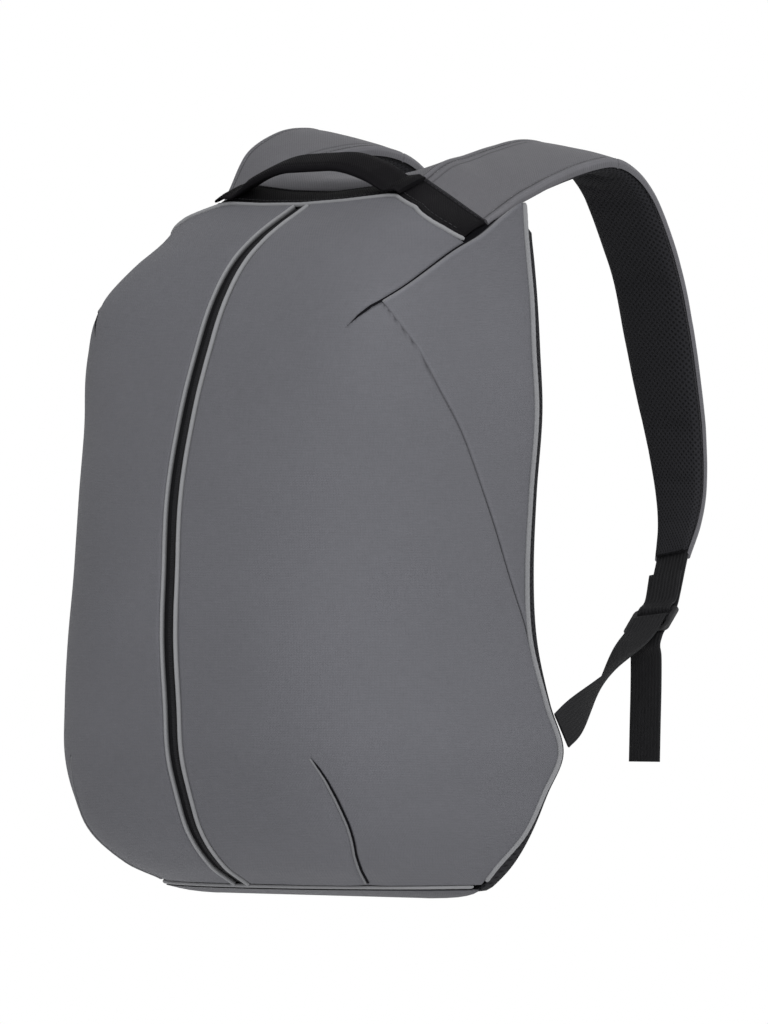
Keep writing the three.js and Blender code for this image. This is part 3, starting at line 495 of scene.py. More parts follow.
class Surface:
    """Short way to write a node material."""

    def __init__(self, name):
        self.material = bpy.data.materials.new(name)
        self.material.use_nodes = True
        self.tree = self.material.node_tree
        self.shader = self.tree.nodes["Principled BSDF"]
        self.uv = self.add("ShaderNodeUVMap", uv_map="UVMap").outputs["UV"]
        self.place = self.add("ShaderNodeTexCoord").outputs["Object"]

    def add(self, kind, inputs=None, **settings):
        node = self.tree.nodes.new(kind)
        for key, value in settings.items():
            setattr(node, key, value)
        for key, value in (inputs or {}).items():
            self.put(node.inputs[key], value)
        return node

    def put(self, socket, value):
        if isinstance(value, bpy.types.NodeSocket):
            self.tree.links.new(value, socket)
        else:
            socket.default_value = value

    def math(self, operation, a, b=0.0, c=0.0, clamp=False):
        node = self.add("ShaderNodeMath", {0: a, 1: b, 2: c}, operation=operation, use_clamp=clamp)
        return node.outputs[0]

    def stretched(self, vector, x, y, z=1.0):
        return self.add("ShaderNodeMapping", {"Vector": vector, "Scale": (x, y, z)}).outputs["Vector"]

    def noise(self, vector, scale, detail=2.0, rough=0.5):
        node = self.add("ShaderNodeTexNoise", {"Vector": vector, "Scale": scale, "Detail": detail, "Roughness": rough})
        return node.outputs["Fac"]

    def wave(self, vector, period, direction="X"):
        node = self.add("ShaderNodeTexWave", {"Vector": vector, "Scale": 0.314159 / period},
                        wave_type="BANDS", bands_direction=direction, wave_profile="SIN")
        return node.outputs["Fac"]

    def blend(self, share, a, b, mode="MIX"):
        node = self.add("ShaderNodeMix", data_type="RGBA", blend_type=mode)
        self.put(node.inputs[0], share)
        self.put(node.inputs[6], a)
        self.put(node.inputs[7], b)
        return node.outputs[2]

    def grey(self, value):
        return self.add("ShaderNodeCombineColor", {0: value, 1: value, 2: value}).outputs[0]

    def tone(self):
        # painted shade and highlight of each point, read from its shade value
        return self.add("ShaderNodeAttribute", attribute_name="shade").outputs["Fac"]

    def finish(self, colour, roughness, height, lift, sheen=0.0, soft=0.5, specular=0.3):
        shader = self.shader
        self.put(shader.inputs["Base Color"], colour)
        self.put(shader.inputs["Roughness"], roughness)
        shader.inputs["Specular IOR Level"].default_value = specular
        shader.inputs["Sheen Weight"].default_value = sheen
        shader.inputs["Sheen Roughness"].default_value = soft
        bump = self.add("ShaderNodeBump", {"Height": height, "Strength": 1.0, "Distance": lift})
        self.put(shader.inputs["Normal"], bump.outputs["Normal"])
        return self.material


def woven(name, colour, thread, contrast=0.14, melange=0.2, lift=0.00012, sheen=0.03, rough=0.78, light=0.6,
          specular=0.2):
    """Woven cloth: threads over and under, uneven yarn, slow tone changes, painted shade in seams and grooves and
    painted highlights on raised edges.
    """
    s = Surface(name)
    over = s.add("ShaderNodeTexChecker", {"Vector": s.uv, "Scale": 1 / thread}).outputs["Fac"]
    warp = s.wave(s.uv, thread, "X")
    weft = s.wave(s.uv, thread, "Y")
    one = s.math("MULTIPLY", over, warp)
    two = s.math("MULTIPLY", s.math("SUBTRACT", 1.0, over), weft)
    weave = s.math("ADD", one, two)
    yarn_a = s.noise(s.stretched(s.uv, 1.0, 0.12), 0.9 / thread, 2.0, 0.6)
    yarn_b = s.noise(s.stretched(s.uv, 0.12, 1.0), 0.9 / thread, 2.0, 0.6)
    yarn = s.math("MULTIPLY", s.math("ADD", yarn_a, yarn_b), 0.5)
    slow = s.noise(s.place, 9.0, 3.0, 0.55)
    value = s.math("MULTIPLY_ADD", s.math("SUBTRACT", weave, 0.5), contrast, 1.0)
    value = s.math("ADD", value, s.math("MULTIPLY", s.math("SUBTRACT", yarn, 0.5), melange * 2))
    value = s.math("ADD", value, s.math("MULTIPLY", s.math("SUBTRACT", slow, 0.5), 0.22))
    # painted shade and highlight: the shade value darkens seams and grooves and lightens raised, rolled edges
    tone = s.tone()
    dark = s.math("MULTIPLY", tone, -1.0, clamp=True)
    pale = s.math("MULTIPLY", tone, 1.0, clamp=True)
    value = s.math("MULTIPLY", value, s.math("SUBTRACT", 1.0, s.math("MULTIPLY", dark, 0.9)))
    value = s.math("MULTIPLY", value, s.math("MULTIPLY_ADD", pale, light, 1.0))
    tinted = s.blend(1.0, (*colour, 1.0), s.grey(value), "MULTIPLY")
    roughness = s.math("MULTIPLY_ADD", yarn, 0.12, rough - 0.06)
    crumple = s.noise(s.place, 45.0, 4.0, 0.6)
    height = s.math("MULTIPLY_ADD", crumple, 3.0, s.math("ADD", weave, s.math("MULTIPLY", yarn, 0.8)))
    return s.finish(tinted, roughness, height, lift, sheen, 0.45, specular)


def ribbed(name, colour, rib=1.5, light=0.5):
    """Webbing: ribs along its length, herringbone thread and edges lightened by a painted highlight."""
    s = Surface(name)
    skew = s.add("ShaderNodeMapping", {"Vector": s.uv, "Rotation": (0, 0, 0.78)}).outputs["Vector"]
    twill = s.wave(skew, 1.1e-3, "X")
    ribs = s.wave(s.uv, rib * 1e-3, "X")
    yarn = s.noise(s.stretched(s.uv, 1.0, 0.2), 900.0, 2.0, 0.6)
    slow = s.noise(s.place, 22.0, 3.0, 0.5)
    value = s.math("MULTIPLY_ADD", twill, 0.35, 0.65)
    value = s.math("ADD", value, s.math("MULTIPLY", ribs, 0.2))
    value = s.math("ADD", value, s.math("MULTIPLY", s.math("SUBTRACT", yarn, 0.5), 0.6))
    value = s.math("ADD", value, s.math("MULTIPLY", s.math("SUBTRACT", slow, 0.5), 0.4))
    # painted highlight and shade: the shade value lightens the edges and darkens marked points
    tone = s.tone()
    pale = s.math("MULTIPLY", tone, 1.0, clamp=True)
    value = s.math("MULTIPLY", value, s.math("MULTIPLY_ADD", pale, light, 1.0))
    dark = s.math("MULTIPLY", tone, -1.0, clamp=True)
    value = s.math("MULTIPLY", value, s.math("SUBTRACT", 1.0, s.math("MULTIPLY", dark, 0.8)))
    tinted = s.blend(1.0, (*colour, 1.0), s.grey(value), "MULTIPLY")
    height = s.math("ADD", s.math("MULTIPLY", ribs, 1.2), s.math("ADD", twill, s.math("MULTIPLY", yarn, 0.5)))
    return s.finish(tinted, s.math("MULTIPLY_ADD", yarn, 0.15, 0.55), height, 0.0002, 0.0, 0.4, 0.1)


def spacer_mesh(name, colour):
    """Air mesh: rows of small oval holes in a knitted face."""
    s = Surface(name)
    turned = s.add("ShaderNodeMapping", {"Vector": s.uv, "Rotation": (0, 0, math.pi / 4)}).outputs["Vector"]
    rim = s.math("POWER", s.math("MULTIPLY", s.wave(turned, 0.0028, "X"), s.wave(turned, 0.0028, "Y")), 1.4)
    yarn = s.noise(s.place, 1400.0, 2.0, 0.6)
    slow = s.noise(s.place, 14.0, 3.0, 0.5)
    value = s.math("MULTIPLY_ADD", rim, -0.75, 1.1)
    value = s.math("ADD", value, s.math("MULTIPLY", s.math("SUBTRACT", yarn, 0.5), 0.7))
    value = s.math("ADD", value, s.math("MULTIPLY", s.math("SUBTRACT", slow, 0.5), 0.3))
    # painted highlight and shade: the shade value lightens or darkens the mesh colour
    tone = s.tone()
    value = s.math("MULTIPLY", value, s.math("MULTIPLY_ADD", s.math("MULTIPLY", tone, 1.0, clamp=True), 0.7, 1.0))
    dark = s.math("MULTIPLY", tone, -1.0, clamp=True)
    value = s.math("MULTIPLY", value, s.math("SUBTRACT", 1.0, s.math("MULTIPLY", dark, 0.8)))
    tinted = s.blend(1.0, (*colour, 1.0), s.grey(value), "MULTIPLY")
    height = s.math("MULTIPLY_ADD", rim, -2.6, s.math("MULTIPLY", yarn, 0.7))
    return s.finish(tinted, 0.85, height, 0.0003, 0.01, 0.5, 0.08)


def moulded(name, colour):
    """Moulded plastic with a fine spark texture."""
    s = Surface(name)
    grain = s.noise(s.place, 2600.0, 2.0, 0.6)
    slow = s.noise(s.place, 60.0, 3.0, 0.5)
    value = s.math("MULTIPLY_ADD", slow, 0.5, 0.75)
    tinted = s.blend(1.0, (*colour, 1.0), s.grey(value), "MULTIPLY")
    roughness = s.math("MULTIPLY_ADD", slow, 0.2, 0.32)
    return s.finish(tinted, roughness, grain, 0.00005, 0.0, 0.5, 0.3)


def coil_cloth(name, colour):
    """Zip tape and its nylon coil."""
    s = Surface(name)
    twill = s.wave(s.uv, 0.8e-3, "Y")
    yarn = s.noise(s.uv, 1500.0, 2.0, 0.6)
    tone = s.tone()
    value = s.math("MULTIPLY_ADD", twill, 0.25, 0.7)
    value = s.math("ADD", value, s.math("MULTIPLY", s.math("SUBTRACT", yarn, 0.5), 0.5))
    # painted highlight: the shade value brightens the crests of the coil's teeth
    value = s.math("MULTIPLY", value, s.math("MULTIPLY_ADD", s.math("MULTIPLY", tone, 1.0, clamp=True), 1.4, 1.0))
    tinted = s.blend(1.0, (*colour, 1.0), s.grey(value), "MULTIPLY")
    roughness = s.math("MULTIPLY_ADD", yarn, 0.2, 0.4)
    return s.finish(tinted, roughness, s.math("ADD", twill, yarn), 0.0001, 0.0, 0.5, 0.12)


GREY = woven("grey_shell_cloth", (0.091, 0.0915, 0.102), 0.0010)
STRAP_GREY = woven("grey_strap_cloth", (0.086, 0.085, 0.093), 0.0010)
# lighter copy of the shell grey for the dart lips: a painted highlight on the folds
LIP = woven("grey_dart_lip_painted_highlight", (0.125, 0.126, 0.134), 0.0008, contrast=0.10, melange=0.12, lift=0.00006)
# pale grey for the piping cords, welts and folded edges: a painted highlight on the rounded cloth
PALE = woven("pale_edge_painted_highlight", (0.180, 0.182, 0.190), 0.0008, contrast=0.10, melange=0.12, lift=0.00006)
BLACK = woven("black_band_cloth", (0.0045, 0.0042, 0.0050), 0.0009, contrast=0.4, melange=0.3, sheen=0.0, rough=0.75,
              specular=0.04)
# near-black cloth laid in seams and gaps as painted shadow
SHADOW = woven("black_painted_seam_shadow", (0.004, 0.004, 0.005), 0.0009, sheen=0.0, specular=0.03)
WEB = ribbed("black_adjuster_web", (0.011, 0.011, 0.012), rib=2.6)
MESH = spacer_mesh("black_air_mesh", (0.014, 0.014, 0.016))
PLASTIC = moulded("black_moulded_plastic", (0.012, 0.012, 0.013))
ZIP = coil_cloth("black_zip", (0.006, 0.006, 0.007))
THREAD = woven("grey_thread", (0.12, 0.121, 0.128), 0.0006, contrast=0.3, melange=0.1, lift=0.00005)
DARK_THREAD = woven("black_thread", (0.03, 0.03, 0.033), 0.0006, contrast=0.3, melange=0.1, lift=0.00005)


def settle(piece, node_names):
    """Tells the frame what a piece rides on and hides the nodes it stands for."""
    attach(piece, "root")
    if node_names:
        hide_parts(*node_names)
    return piece


# Shell

PANEL_INNER = STRIP_HALF + WELT_WIDTH + 0.5
PIPE_TUCK = 0.9


def seam_share(height):
    """Share of the half girth at which the front panel meets the side wing."""
    low = curve(WING_LOW, np.minimum(height, WING_LOW[-1, 0]))[..., 1]
    high = curve(WING_HIGH, np.maximum(height, WING_HIGH[0, 0]))[..., 1]
    return np.where(height < WING_HIGH[0, 0], low, high)


def front_row(b):
    low = curve(FRONT_ROWS[:CORNER_ROW + 1], np.minimum(b, CORNER_ROW))
    high = curve(FRONT_ROWS[CORNER_ROW:], np.maximum(b, CORNER_ROW))
    row = np.where((b <= CORNER_ROW)[..., None], low, high)
    share = np.where((b >= 9) & (b <= 19), seam_share(row[..., 3]), row[..., 2])
    return row[..., 1] * SHELL_HEIGHT, np.minimum(share, 1.0), row[..., 3] * SHELL_HEIGHT


def rim_height(across):
    return np.interp(across / HALF_WIDTH, RIM[:, 0], RIM[:, 1]) * SHELL_HEIGHT


DART_COLUMN = 0.333
TAIL_START = 0.836


def front_grid():
    """Shares of the half girth and heights of the front panel's grid. Two of its lines follow the darts."""
    f = marks(270, 3.0, 0, 1, DART_COLUMN)
    centres = FRONT_ROWS[:, 1] * SHELL_HEIGHT
    corner = (centres[CORNER_ROW] - centres[0]) / (centres[-1] - centres[0])
    heights = centres[0] + (centres[-1] - centres[0]) * marks(420, 3.0, 0, 1, corner)
    b = np.interp(heights, centres, FRONT_ROWS[:, 0])
    inner_z, edge_u, edge_z = front_row(b)
    edge_u = edge_u - np.where(b <= 9, PIPE_TUCK, 0.15) / girth(edge_z)
    inner_u = around_at(PANEL_INNER, inner_z)
    u = inner_u[:, None] + (edge_u - inner_u)[:, None] * f
    z = inner_z[:, None] + (edge_z - inner_z)[:, None] * f
    # rows bend down to follow the upper dart
    start_z, corner_u, corner_z = front_row(np.array([float(CORNER_ROW)]))
    start_u = around_at(PANEL_INNER, start_z)
    row_u = start_u + (corner_u - start_u) * f
    row_z = start_z + (corner_z - start_z) * f
    dart_z = np.interp(row_u, UPPER_DART[:, 0], UPPER_DART[:, 1])
    drop = np.where(f >= TAIL_START, dart_z - row_z, 0)
    first = int(np.argmax(f >= TAIL_START))
    drop[:first] = drop[first] * smooth(f[:first] / TAIL_START)
    reach = np.where(b > CORNER_ROW, (20 - b) / (20 - CORNER_ROW), np.clip((b - 11) / (CORNER_ROW - 11), 0, 1))
    z = z + drop[None, :] * reach[:, None]
    # columns lean to follow the lower dart
    column = int(np.argmin(np.abs(f - DART_COLUMN)))
    dart = LOWER_DART[::-1]
    wanted = np.interp(z[:, column], dart[:, 1], dart[:, 0])
    lean = np.where(z[:, column] < LOWER_DART[0, 1], wanted - u[:, column], 0)
    top = int(np.argmin(np.abs(z[:, column] - LOWER_DART[0, 1])))
    lean = lean - np.where(z[:, column] < LOWER_DART[0, 1], lean[max(top - 1, 0)] * 0, 0)
    fade = np.clip(1 - (z[:, column] - LOWER_DART[0, 1]) / 60, 0, 1)
    rest = LOWER_DART[0, 0] - u[top, column]
    lean = np.where(z[:, column] < LOWER_DART[0, 1], lean, rest * smooth(fade))
    weight = np.where(f < DART_COLUMN, f / DART_COLUMN, (1 - f) / (1 - DART_COLUMN))
    u = u + lean[:, None] * weight[None, :]
    # the top rows bend up to the top seam
    pull = ((b / 20) ** 9)[:, None] * (f < 1)[None, :]
    across = PANEL_INNER + (RIM_END - PANEL_INNER) * f
    top_z = rim_height(across) - 0.7
    top_u = around_at(across, top_z)
    return u + (top_u[None, :] - u) * pull, z + (top_z[None, :] - z) * pull


def seam_rows(low, high, count):
    heights = np.linspace(low, high, count)
    return np.column_stack([seam_share(heights), heights * SHELL_HEIGHT])


SEAM_D = np.concatenate([UPPER_DART, seam_rows(0.853, WING_HIGH[-1, 0], 40)])
SEAM_E = seam_rows(WING_LOW[0, 0], 0.8515, 80)


def on_shell(line, steps=8):
    """Line of (share, height) as points on the shell."""
    dense = np.stack([np.interp(np.linspace(0, len(line) - 1, len(line) * steps), np.arange(len(line)), line[:, k])
                      for k in range(2)], -1)
    return shell(dense[:, 0], dense[:, 1])[0]


def swell(points, side):
    """Slow unevenness of the foam-backed cloth."""
    seed = 3 if side > 0 else 8
    return 0.75 * wander(points, 95, seed) + 0.22 * wander(points, 30, seed + 1)


def front_panel(side):
    u, z = front_grid()
    points, outs = shell(u, z)
    d, d_place = away_from(points, on_shell(SEAM_D))
    e, _ = away_from(points, on_shell(SEAM_E))
    f, f_place = away_from(points, on_shell(LOWER_DART))
    back = (1 - u) * girth(z)
    inner = points[..., 0] - PANEL_INNER
    tail = smooth(d_place / 0.16)
    dart = smooth(f_place / 0.3)
    seed = 5 if side > 0 else 10
    relief = -sunk(d, 1.7, 2.6) * tail - sunk(d, 0.7, 13) * tail
    relief -= sunk(f, 1.4, 2.2) * dart + sunk(f, 0.8, 12) * dart
    relief -= sunk(e, 0.7, 2.2) + sunk(e, 0.35, 9)
    relief -= sunk(back, 1.0, 3.2) * (z < 166)
    relief -= sunk(inner, 0.9, 2.6)
    relief += swell(points, side)
    pucker = (np.exp(-d / 9) * tail + np.exp(-f / 9) * dart) * smooth(d / 4) * smooth(e / 8) * smooth(f / 4)
    relief += 0.4 * wander(points, 12, seed) * pucker
    points = points + outs * relief[..., None]
    # painted shade in the sunk darts and seams, painted highlight beside the darts and along the inner edge by the
    # welt
    shade = -np.exp(-(d / 0.75) ** 2) * (0.35 + 0.65 * tail) * (d_place > 0.002)
    shade -= np.exp(-(f / 0.7) ** 2) * (0.3 + 0.7 * dart) * (f_place > 0.002)
    shade -= 0.42 * np.exp(-(e / 0.7) ** 2)
    shade += 0.10 * np.exp(-((d - 2.2) / 1.4) ** 2) * tail + 0.10 * np.exp(-((f - 2.0) / 1.2) ** 2) * dart
    shade += 0.16 * np.exp(-(inner / 1.8) ** 2)
    uvs = np.stack([u * girth(z), z], -1)
    name = "front_panel_right" if side > 0 else "front_panel_left"
    piece = build(name.replace("front_panel", "front_shell"), *thick(points, outs, 3.6, uvs, np.clip(shade, -1, 1)),
                  GREY, side)
    return settle(piece, [name])


def side_wing(side):
    low, high = WING_LOW[0, 0] * SHELL_HEIGHT + 1, WING_HIGH[-1, 0] * SHELL_HEIGHT
    corner = (0.8515 * SHELL_HEIGHT - low) / (high - low)
    z = low + (high - low) * marks(high - low, 2.6, 0, 1, corner)
    edge = seam_share(z / SHELL_HEIGHT)
    f = marks(100, 2.6, 0, 1)
    start = edge + 0.15 / girth(z)
    end = 1 - PIPE_TUCK / girth(z)
    u = start[:, None] + (end - start)[:, None] * f
    z = np.broadcast_to(z[:, None], u.shape)
    points, outs = shell(u, z)
    d, _ = away_from(points, on_shell(SEAM_D[3:]))
    e, _ = away_from(points, on_shell(SEAM_E))
    back = (1 - u) * girth(z)
    relief = -sunk(d, 1.5, 1.8) + 0.5 * np.exp(-((d - 2.6) / 2.2) ** 2) * smooth(e / 6)
    relief -= sunk(e, 0.7, 2.2) + sunk(back, 1.0, 3.2)
    relief += swell(points, side)
    points = points + outs * relief[..., None]
    # painted shade in the seams, painted highlight along the wing's raised folded edge and beside the lower seam
    shade = -np.exp(-(d / 0.75) ** 2) + 0.5 * np.exp(-((d - 2.0) / 0.8) ** 2) - 0.42 * np.exp(-(e / 0.7) ** 2)
    shade += 0.12 * np.exp(-((e - 1.8) / 1.0) ** 2)
    uvs = np.stack([u * girth(z), z], -1)
    name = "side_wing_right" if side > 0 else "side_wing_left"
    piece = build(name.replace("side_wing", "wing_cloth"), *thick(points, outs, 2.6, uvs, np.clip(shade, -1, 1)),
                  GREY, side)
    return settle(piece, [name])


def centre_levels(step):
    """Heights up the middle of the front at equal steps along the cloth."""
    z = np.linspace(BASE_CORD + 1.0, FRONT_ROWS[-1, 1] * SHELL_HEIGHT - 0.5, 900)
    line = shell(np.zeros(z.shape), z)[0]
    run = np.concatenate([[0], np.cumsum(np.linalg.norm(np.diff(line, axis=0), axis=1))])
    wanted = np.linspace(0, run[-1], int(run[-1] / step))
    return np.interp(wanted, run, z), wanted


def centre_strip():
    """Zip tape with a coil down its middle, sunk between the welts."""
    z, run = centre_levels(0.5)
    across = np.array([-5.4, -4.2, -3.0, -2.0, -1.6, -1.2, -0.6, 0, 0.6, 1.2, 1.6, 2.0, 3.0, 4.2, 5.4])
    levels, sides = np.meshgrid(z, across, indexing="ij")
    u = around_at(np.abs(sides), levels)
    points, outs = shell(u, levels)
    points[..., 0] = sides
    outs[..., 0] *= np.sign(sides)
    coil = np.sqrt(np.clip(1 - (sides / 1.9) ** 2, 0, 1))
    tooth = np.abs(np.sin(np.pi * (run[:, None] / 1.5 + 0.18 * np.abs(sides))))
    relief = -2.1 + coil * (0.55 + 0.55 * tooth)
    points = points + outs * relief[..., None]
    uvs = np.stack(np.broadcast_arrays(across[None, :], run[:, None]), -1)
    # painted highlight on the crests of the coil's teeth
    shade = coil * tooth * 0.9
    piece = build("zip_line", *thick(points, outs, 1.2, uvs, shade), ZIP)
    return settle(piece, ["centre_strip"])


def centre_welt(side):
    """Folded lip beside the zip."""
    z, run = centre_levels(2.0)
    profile = np.array([[4.9, -2.1], [4.7, -1.0], [4.75, 0.0], [5.0, 0.6], [5.5, 0.85], [6.1, 0.8], [6.6, 0.45],
                        [7.0, -0.2], [7.3, -1.0], [7.5, -2.0], [5.8, -2.4]])
    wobble = 1 + 0.06 * np.sin(run / 7.3) + 0.05 * np.sin(run / 3.1 + 1)
    levels, across = np.meshgrid(z, profile[:, 0], indexing="ij")
    points, outs = shell(around_at(across, levels), levels)
    height = np.where(profile[:, 1] > 0, profile[None, :, 1] * wobble[:, None], profile[None, :, 1])
    loops = points + outs * height[..., None]
    # painted shade on the welt's low inner walls and a faint painted highlight on its crest
    tone = np.broadcast_to(np.interp(profile[:, 1], [-1.5, -0.3, 1.0], [-0.9, 0.0, 0.1])[None, :], height.shape)
    name = "centre_welt_right" if side > 0 else "centre_welt_left"
    piece = build(name.replace("centre_welt", "zip_welt"), *lofted(loops, tone), PALE, side)
    return settle(piece, [name])


def side_piping(side):
    z = np.linspace(0.026, 1.0020, 200) * SHELL_HEIGHT
    path = fine_line(shell(np.ones(z.shape), z)[0], 1.6)
    name = "side_piping_right" if side > 0 else "side_piping_left"
    piece = build(name.replace("side_piping", "back_seam_cord"), *tube(path, PIPE_RADIUS, 12, 0.03), PALE, side)
    return settle(piece, [name])


def top_piping():
    across = np.linspace(-(RIM_END - 1), RIM_END - 1, 160)
    z = rim_height(np.abs(across))
    points, outs = shell(around_at(np.abs(across), z), z)
    points[:, 0] = across
    piece = build("top_seam_cord", *tube(fine_line(points, 1.5), 1.5, 12, 0.03), PALE)
    return settle(piece, ["top_piping"])


def half_ring(level, proud, steps):
    share = np.abs(np.linspace(-1, 1, 2 * steps + 1))
    side = np.sign(np.linspace(-1, 1, 2 * steps + 1))
    points = shell(share, np.full(share.shape, float(level)), np.full(share.shape, float(proud)))[0]
    points[:, 0] *= side
    return points


def base_piping():
    path = half_ring(BASE_CORD, -0.6, 120)[5:-5]
    piece = build("base_seam_cord", *tube(fine_line(path, 1.6), BASE_CORD_RADIUS + 0.1, 10, 0.03), PALE)
    return settle(piece, ["base_piping"])


BASE_LEVELS = np.array([
    [0.00, 22.0],
    [0.30, 15.0],
    [0.90, 9.0],
    [1.80, 5.0],
    [3.00, 2.2],
    [4.40, 0.7],
    [5.40, 0.6],
    [6.00, 1.6],
])


def base_panel():
    """Padded base, thinner toward its front edge. Each level has a height and how far it lies in from the edge."""
    low, high = half_ring(0, -0.5, 70), half_ring(BASE_CORD, -0.5, 70)
    loops = []
    for z, inset in BASE_LEVELS:
        ring = low + (high - low) * (0.4 + 0.6 * z / BASE_THICK)
        back = section(z)[1] + BACK_SEAM - 0.4 - inset * 0.4
        centre = np.array([0.0, -45.0])
        ring[:, :2] = centre + (ring[:, :2] - centre) * (1 - inset / 95)
        close = np.linspace(0, 1, 13)[1:-1, None]
        ends = np.array([[ring[-1, 0] * 0.99, back], [ring[0, 0] * 0.99, back]])
        flat = np.concatenate([ring[:, :2], ends[:1], ends[0] + (ends[1] - ends[0]) * close, ends[1:]])
        lift = 5.2 * smooth((-24 - flat[:, 1]) / 62) * (1 - z / 6.0)
        loops.append(np.column_stack([flat, z + lift]))
    # painted shade: the whole base cloth is made darker for the shade under the bag
    verts, faces, uvs, shade = lofted(loops, np.broadcast_to(-0.25, (len(BASE_LEVELS), len(loops[0]))))
    piece = build("base_cloth", verts, faces, verts[:, :2].copy(), shade, GREY)
    return settle(piece, ["base_panel"])


def seam_shadow_ribbon(name, line, depth, fade, width, side, surface):
    """Narrow dark ribbon lying in a seam as painted shadow, which rises to the surface over a share of its length at
    its start.
    """
    path, outs = shell(line[:, 0], line[:, 1])
    place = np.linspace(0, 1, len(path))
    path = path + outs * (swell(path, side) + 0.12 - depth * smooth(place / fade))[:, None]
    across = np.cross(unit(np.gradient(path, axis=0)), outs)
    taper = width / 2 * smooth(place * 12)[:, None]
    grid = np.stack([path - across * taper, path, path + across * taper], axis=1)
    uvs = np.stack(np.broadcast_arrays(np.arange(3)[None, :], np.arange(len(path))[:, None]), -1) * 0.5
    parts = thick(grid, np.stack([outs] * 3, axis=1), 0.6, uvs, np.zeros(grid.shape[:2]))
    return settle(build(name, *parts, surface, side), [])


def dense(line, step=0.6):
    """The same line of shares and heights with more points, about a step in mm apart."""
    path = shell(line[:, 0], line[:, 1])[0]
    run = np.concatenate([[0], np.cumsum(np.linalg.norm(np.diff(path, axis=0), axis=1))])
    wanted = np.linspace(0, run[-1], int(run[-1] / step))
    return np.stack([np.interp(wanted, run, line[:, k]) for k in range(2)], -1)


def dart_lip(name, line, offset, radius, side):
    """Soft folded lip beside a dart, in a lighter grey that paints its highlight."""
    line = dense(line, 1.5)
    path, outs = shell(line[:, 0], line[:, 1])
    path = path + outs * (swell(path, side) - 0.35)[:, None]
    across = np.cross(unit(np.gradient(path, axis=0)), outs)
    piece = build(name, *tube(path + across * offset, radius, 10, 0.04), LIP, side)
    return settle(piece, [])


LOWER_LIP = 1.25
UPPER_LIP = 1.25


def darts(side):
    """Near-black ribbons that paint the shadow in the darts and the diagonal seam, and their folded lips in a lighter
    grey that paints the highlight.
    """
    end = "right" if side > 0 else "left"
    seam_shadow_ribbon("upper_dart_painted_shadow_" + end, dense(SEAM_D), 1.2, 0.3, 1.4, side, SHADOW)
    seam_shadow_ribbon("lower_dart_painted_shadow_" + end, dense(LOWER_DART), 0.8, 0.3, 1.4, side, SHADOW)
    dart_lip("lower_dart_lip_" + end, LOWER_DART, LOWER_LIP, 0.8, side)
    dart_lip("upper_dart_lip_" + end, SEAM_D[3:], UPPER_LIP, 0.8, side)


def root_shadow_fill(side):
    """Black sheet that closes the shell under the strap's root; its black is painted shadow."""
    heights = np.linspace(0.925, WING_HIGH[-1, 0], 28)
    low = shell(seam_share(heights), heights * SHELL_HEIGHT, -3.0)[0]
    band = [band_at(RIM_END - 1, 0.1), band_at(RIM_END - 1, 0.95)]
    edge = strap_edges(np.linspace(0.01, 0.14, 8), side)[1]
    high = np.concatenate([np.array(band), edge]) + np.array([-2.5, 0.0, -1.6])
    run = np.linspace(0, len(high) - 1, len(heights))
    high = np.stack([np.interp(run, np.arange(len(high)), high[:, k]) for k in range(3)], -1)
    t = np.linspace(0, 1, 9)[None, :, None]
    grid = low[:, None] * (1 - t) + high[:, None] * t
    across = unit(np.cross(np.gradient(grid, axis=0), np.gradient(grid, axis=1)))
    outs = across * np.sign(across[..., :1] + 1e-9)
    name = "root_painted_shadow_right" if side > 0 else "root_painted_shadow_left"
    piece = build(name, *thick(grid, outs, 1.2, grid[..., 1:], np.zeros(grid.shape[:2])), SHADOW, side)
    return settle(piece, [])


# Band, handle and yoke

def band_at(across, t):
    across, t = np.broadcast_arrays(np.asarray(across, float), np.asarray(t, float))
    z = rim_height(across)
    start = shell(around_at(across, z), z)[0]
    corner, back_corner = RIM[3, 0] * HALF_WIDTH, BAND_BACK[3, 0] * HALF_WIDTH
    back_end = BAND_BACK[-1, 0] * HALF_WIDTH
    over = (across - corner) / (RIM_END - corner)
    back = np.where(across < corner, across * back_corner / corner, back_corner + (back_end - back_corner) * over)
    row = straight(BAND_BACK, back / HALF_WIDTH)
    end = np.stack([back, row[..., 1] * HALF_WIDTH, row[..., 2] * SHELL_HEIGHT], -1)
    point = start + (end - start) * t[..., None]
    point[..., 2] += 1.2 * np.sin(np.pi * t)
    return point


def band_frame(across, t):
    across, t = np.broadcast_arrays(np.asarray(across, float), np.asarray(t, float))
    x = np.abs(across)
    point = band_at(x, t)
    along = band_at(x + 0.5, t) - band_at(np.maximum(x - 0.5, 0), t)
    back = band_at(x, np.minimum(t + 0.02, 1)) - band_at(x, t - 0.02)
    out = unit(np.cross(along, back))
    side = np.where(across < 0, -1.0, 1.0)
    point[..., 0] *= side
    out[..., 0] *= side
    return point, out


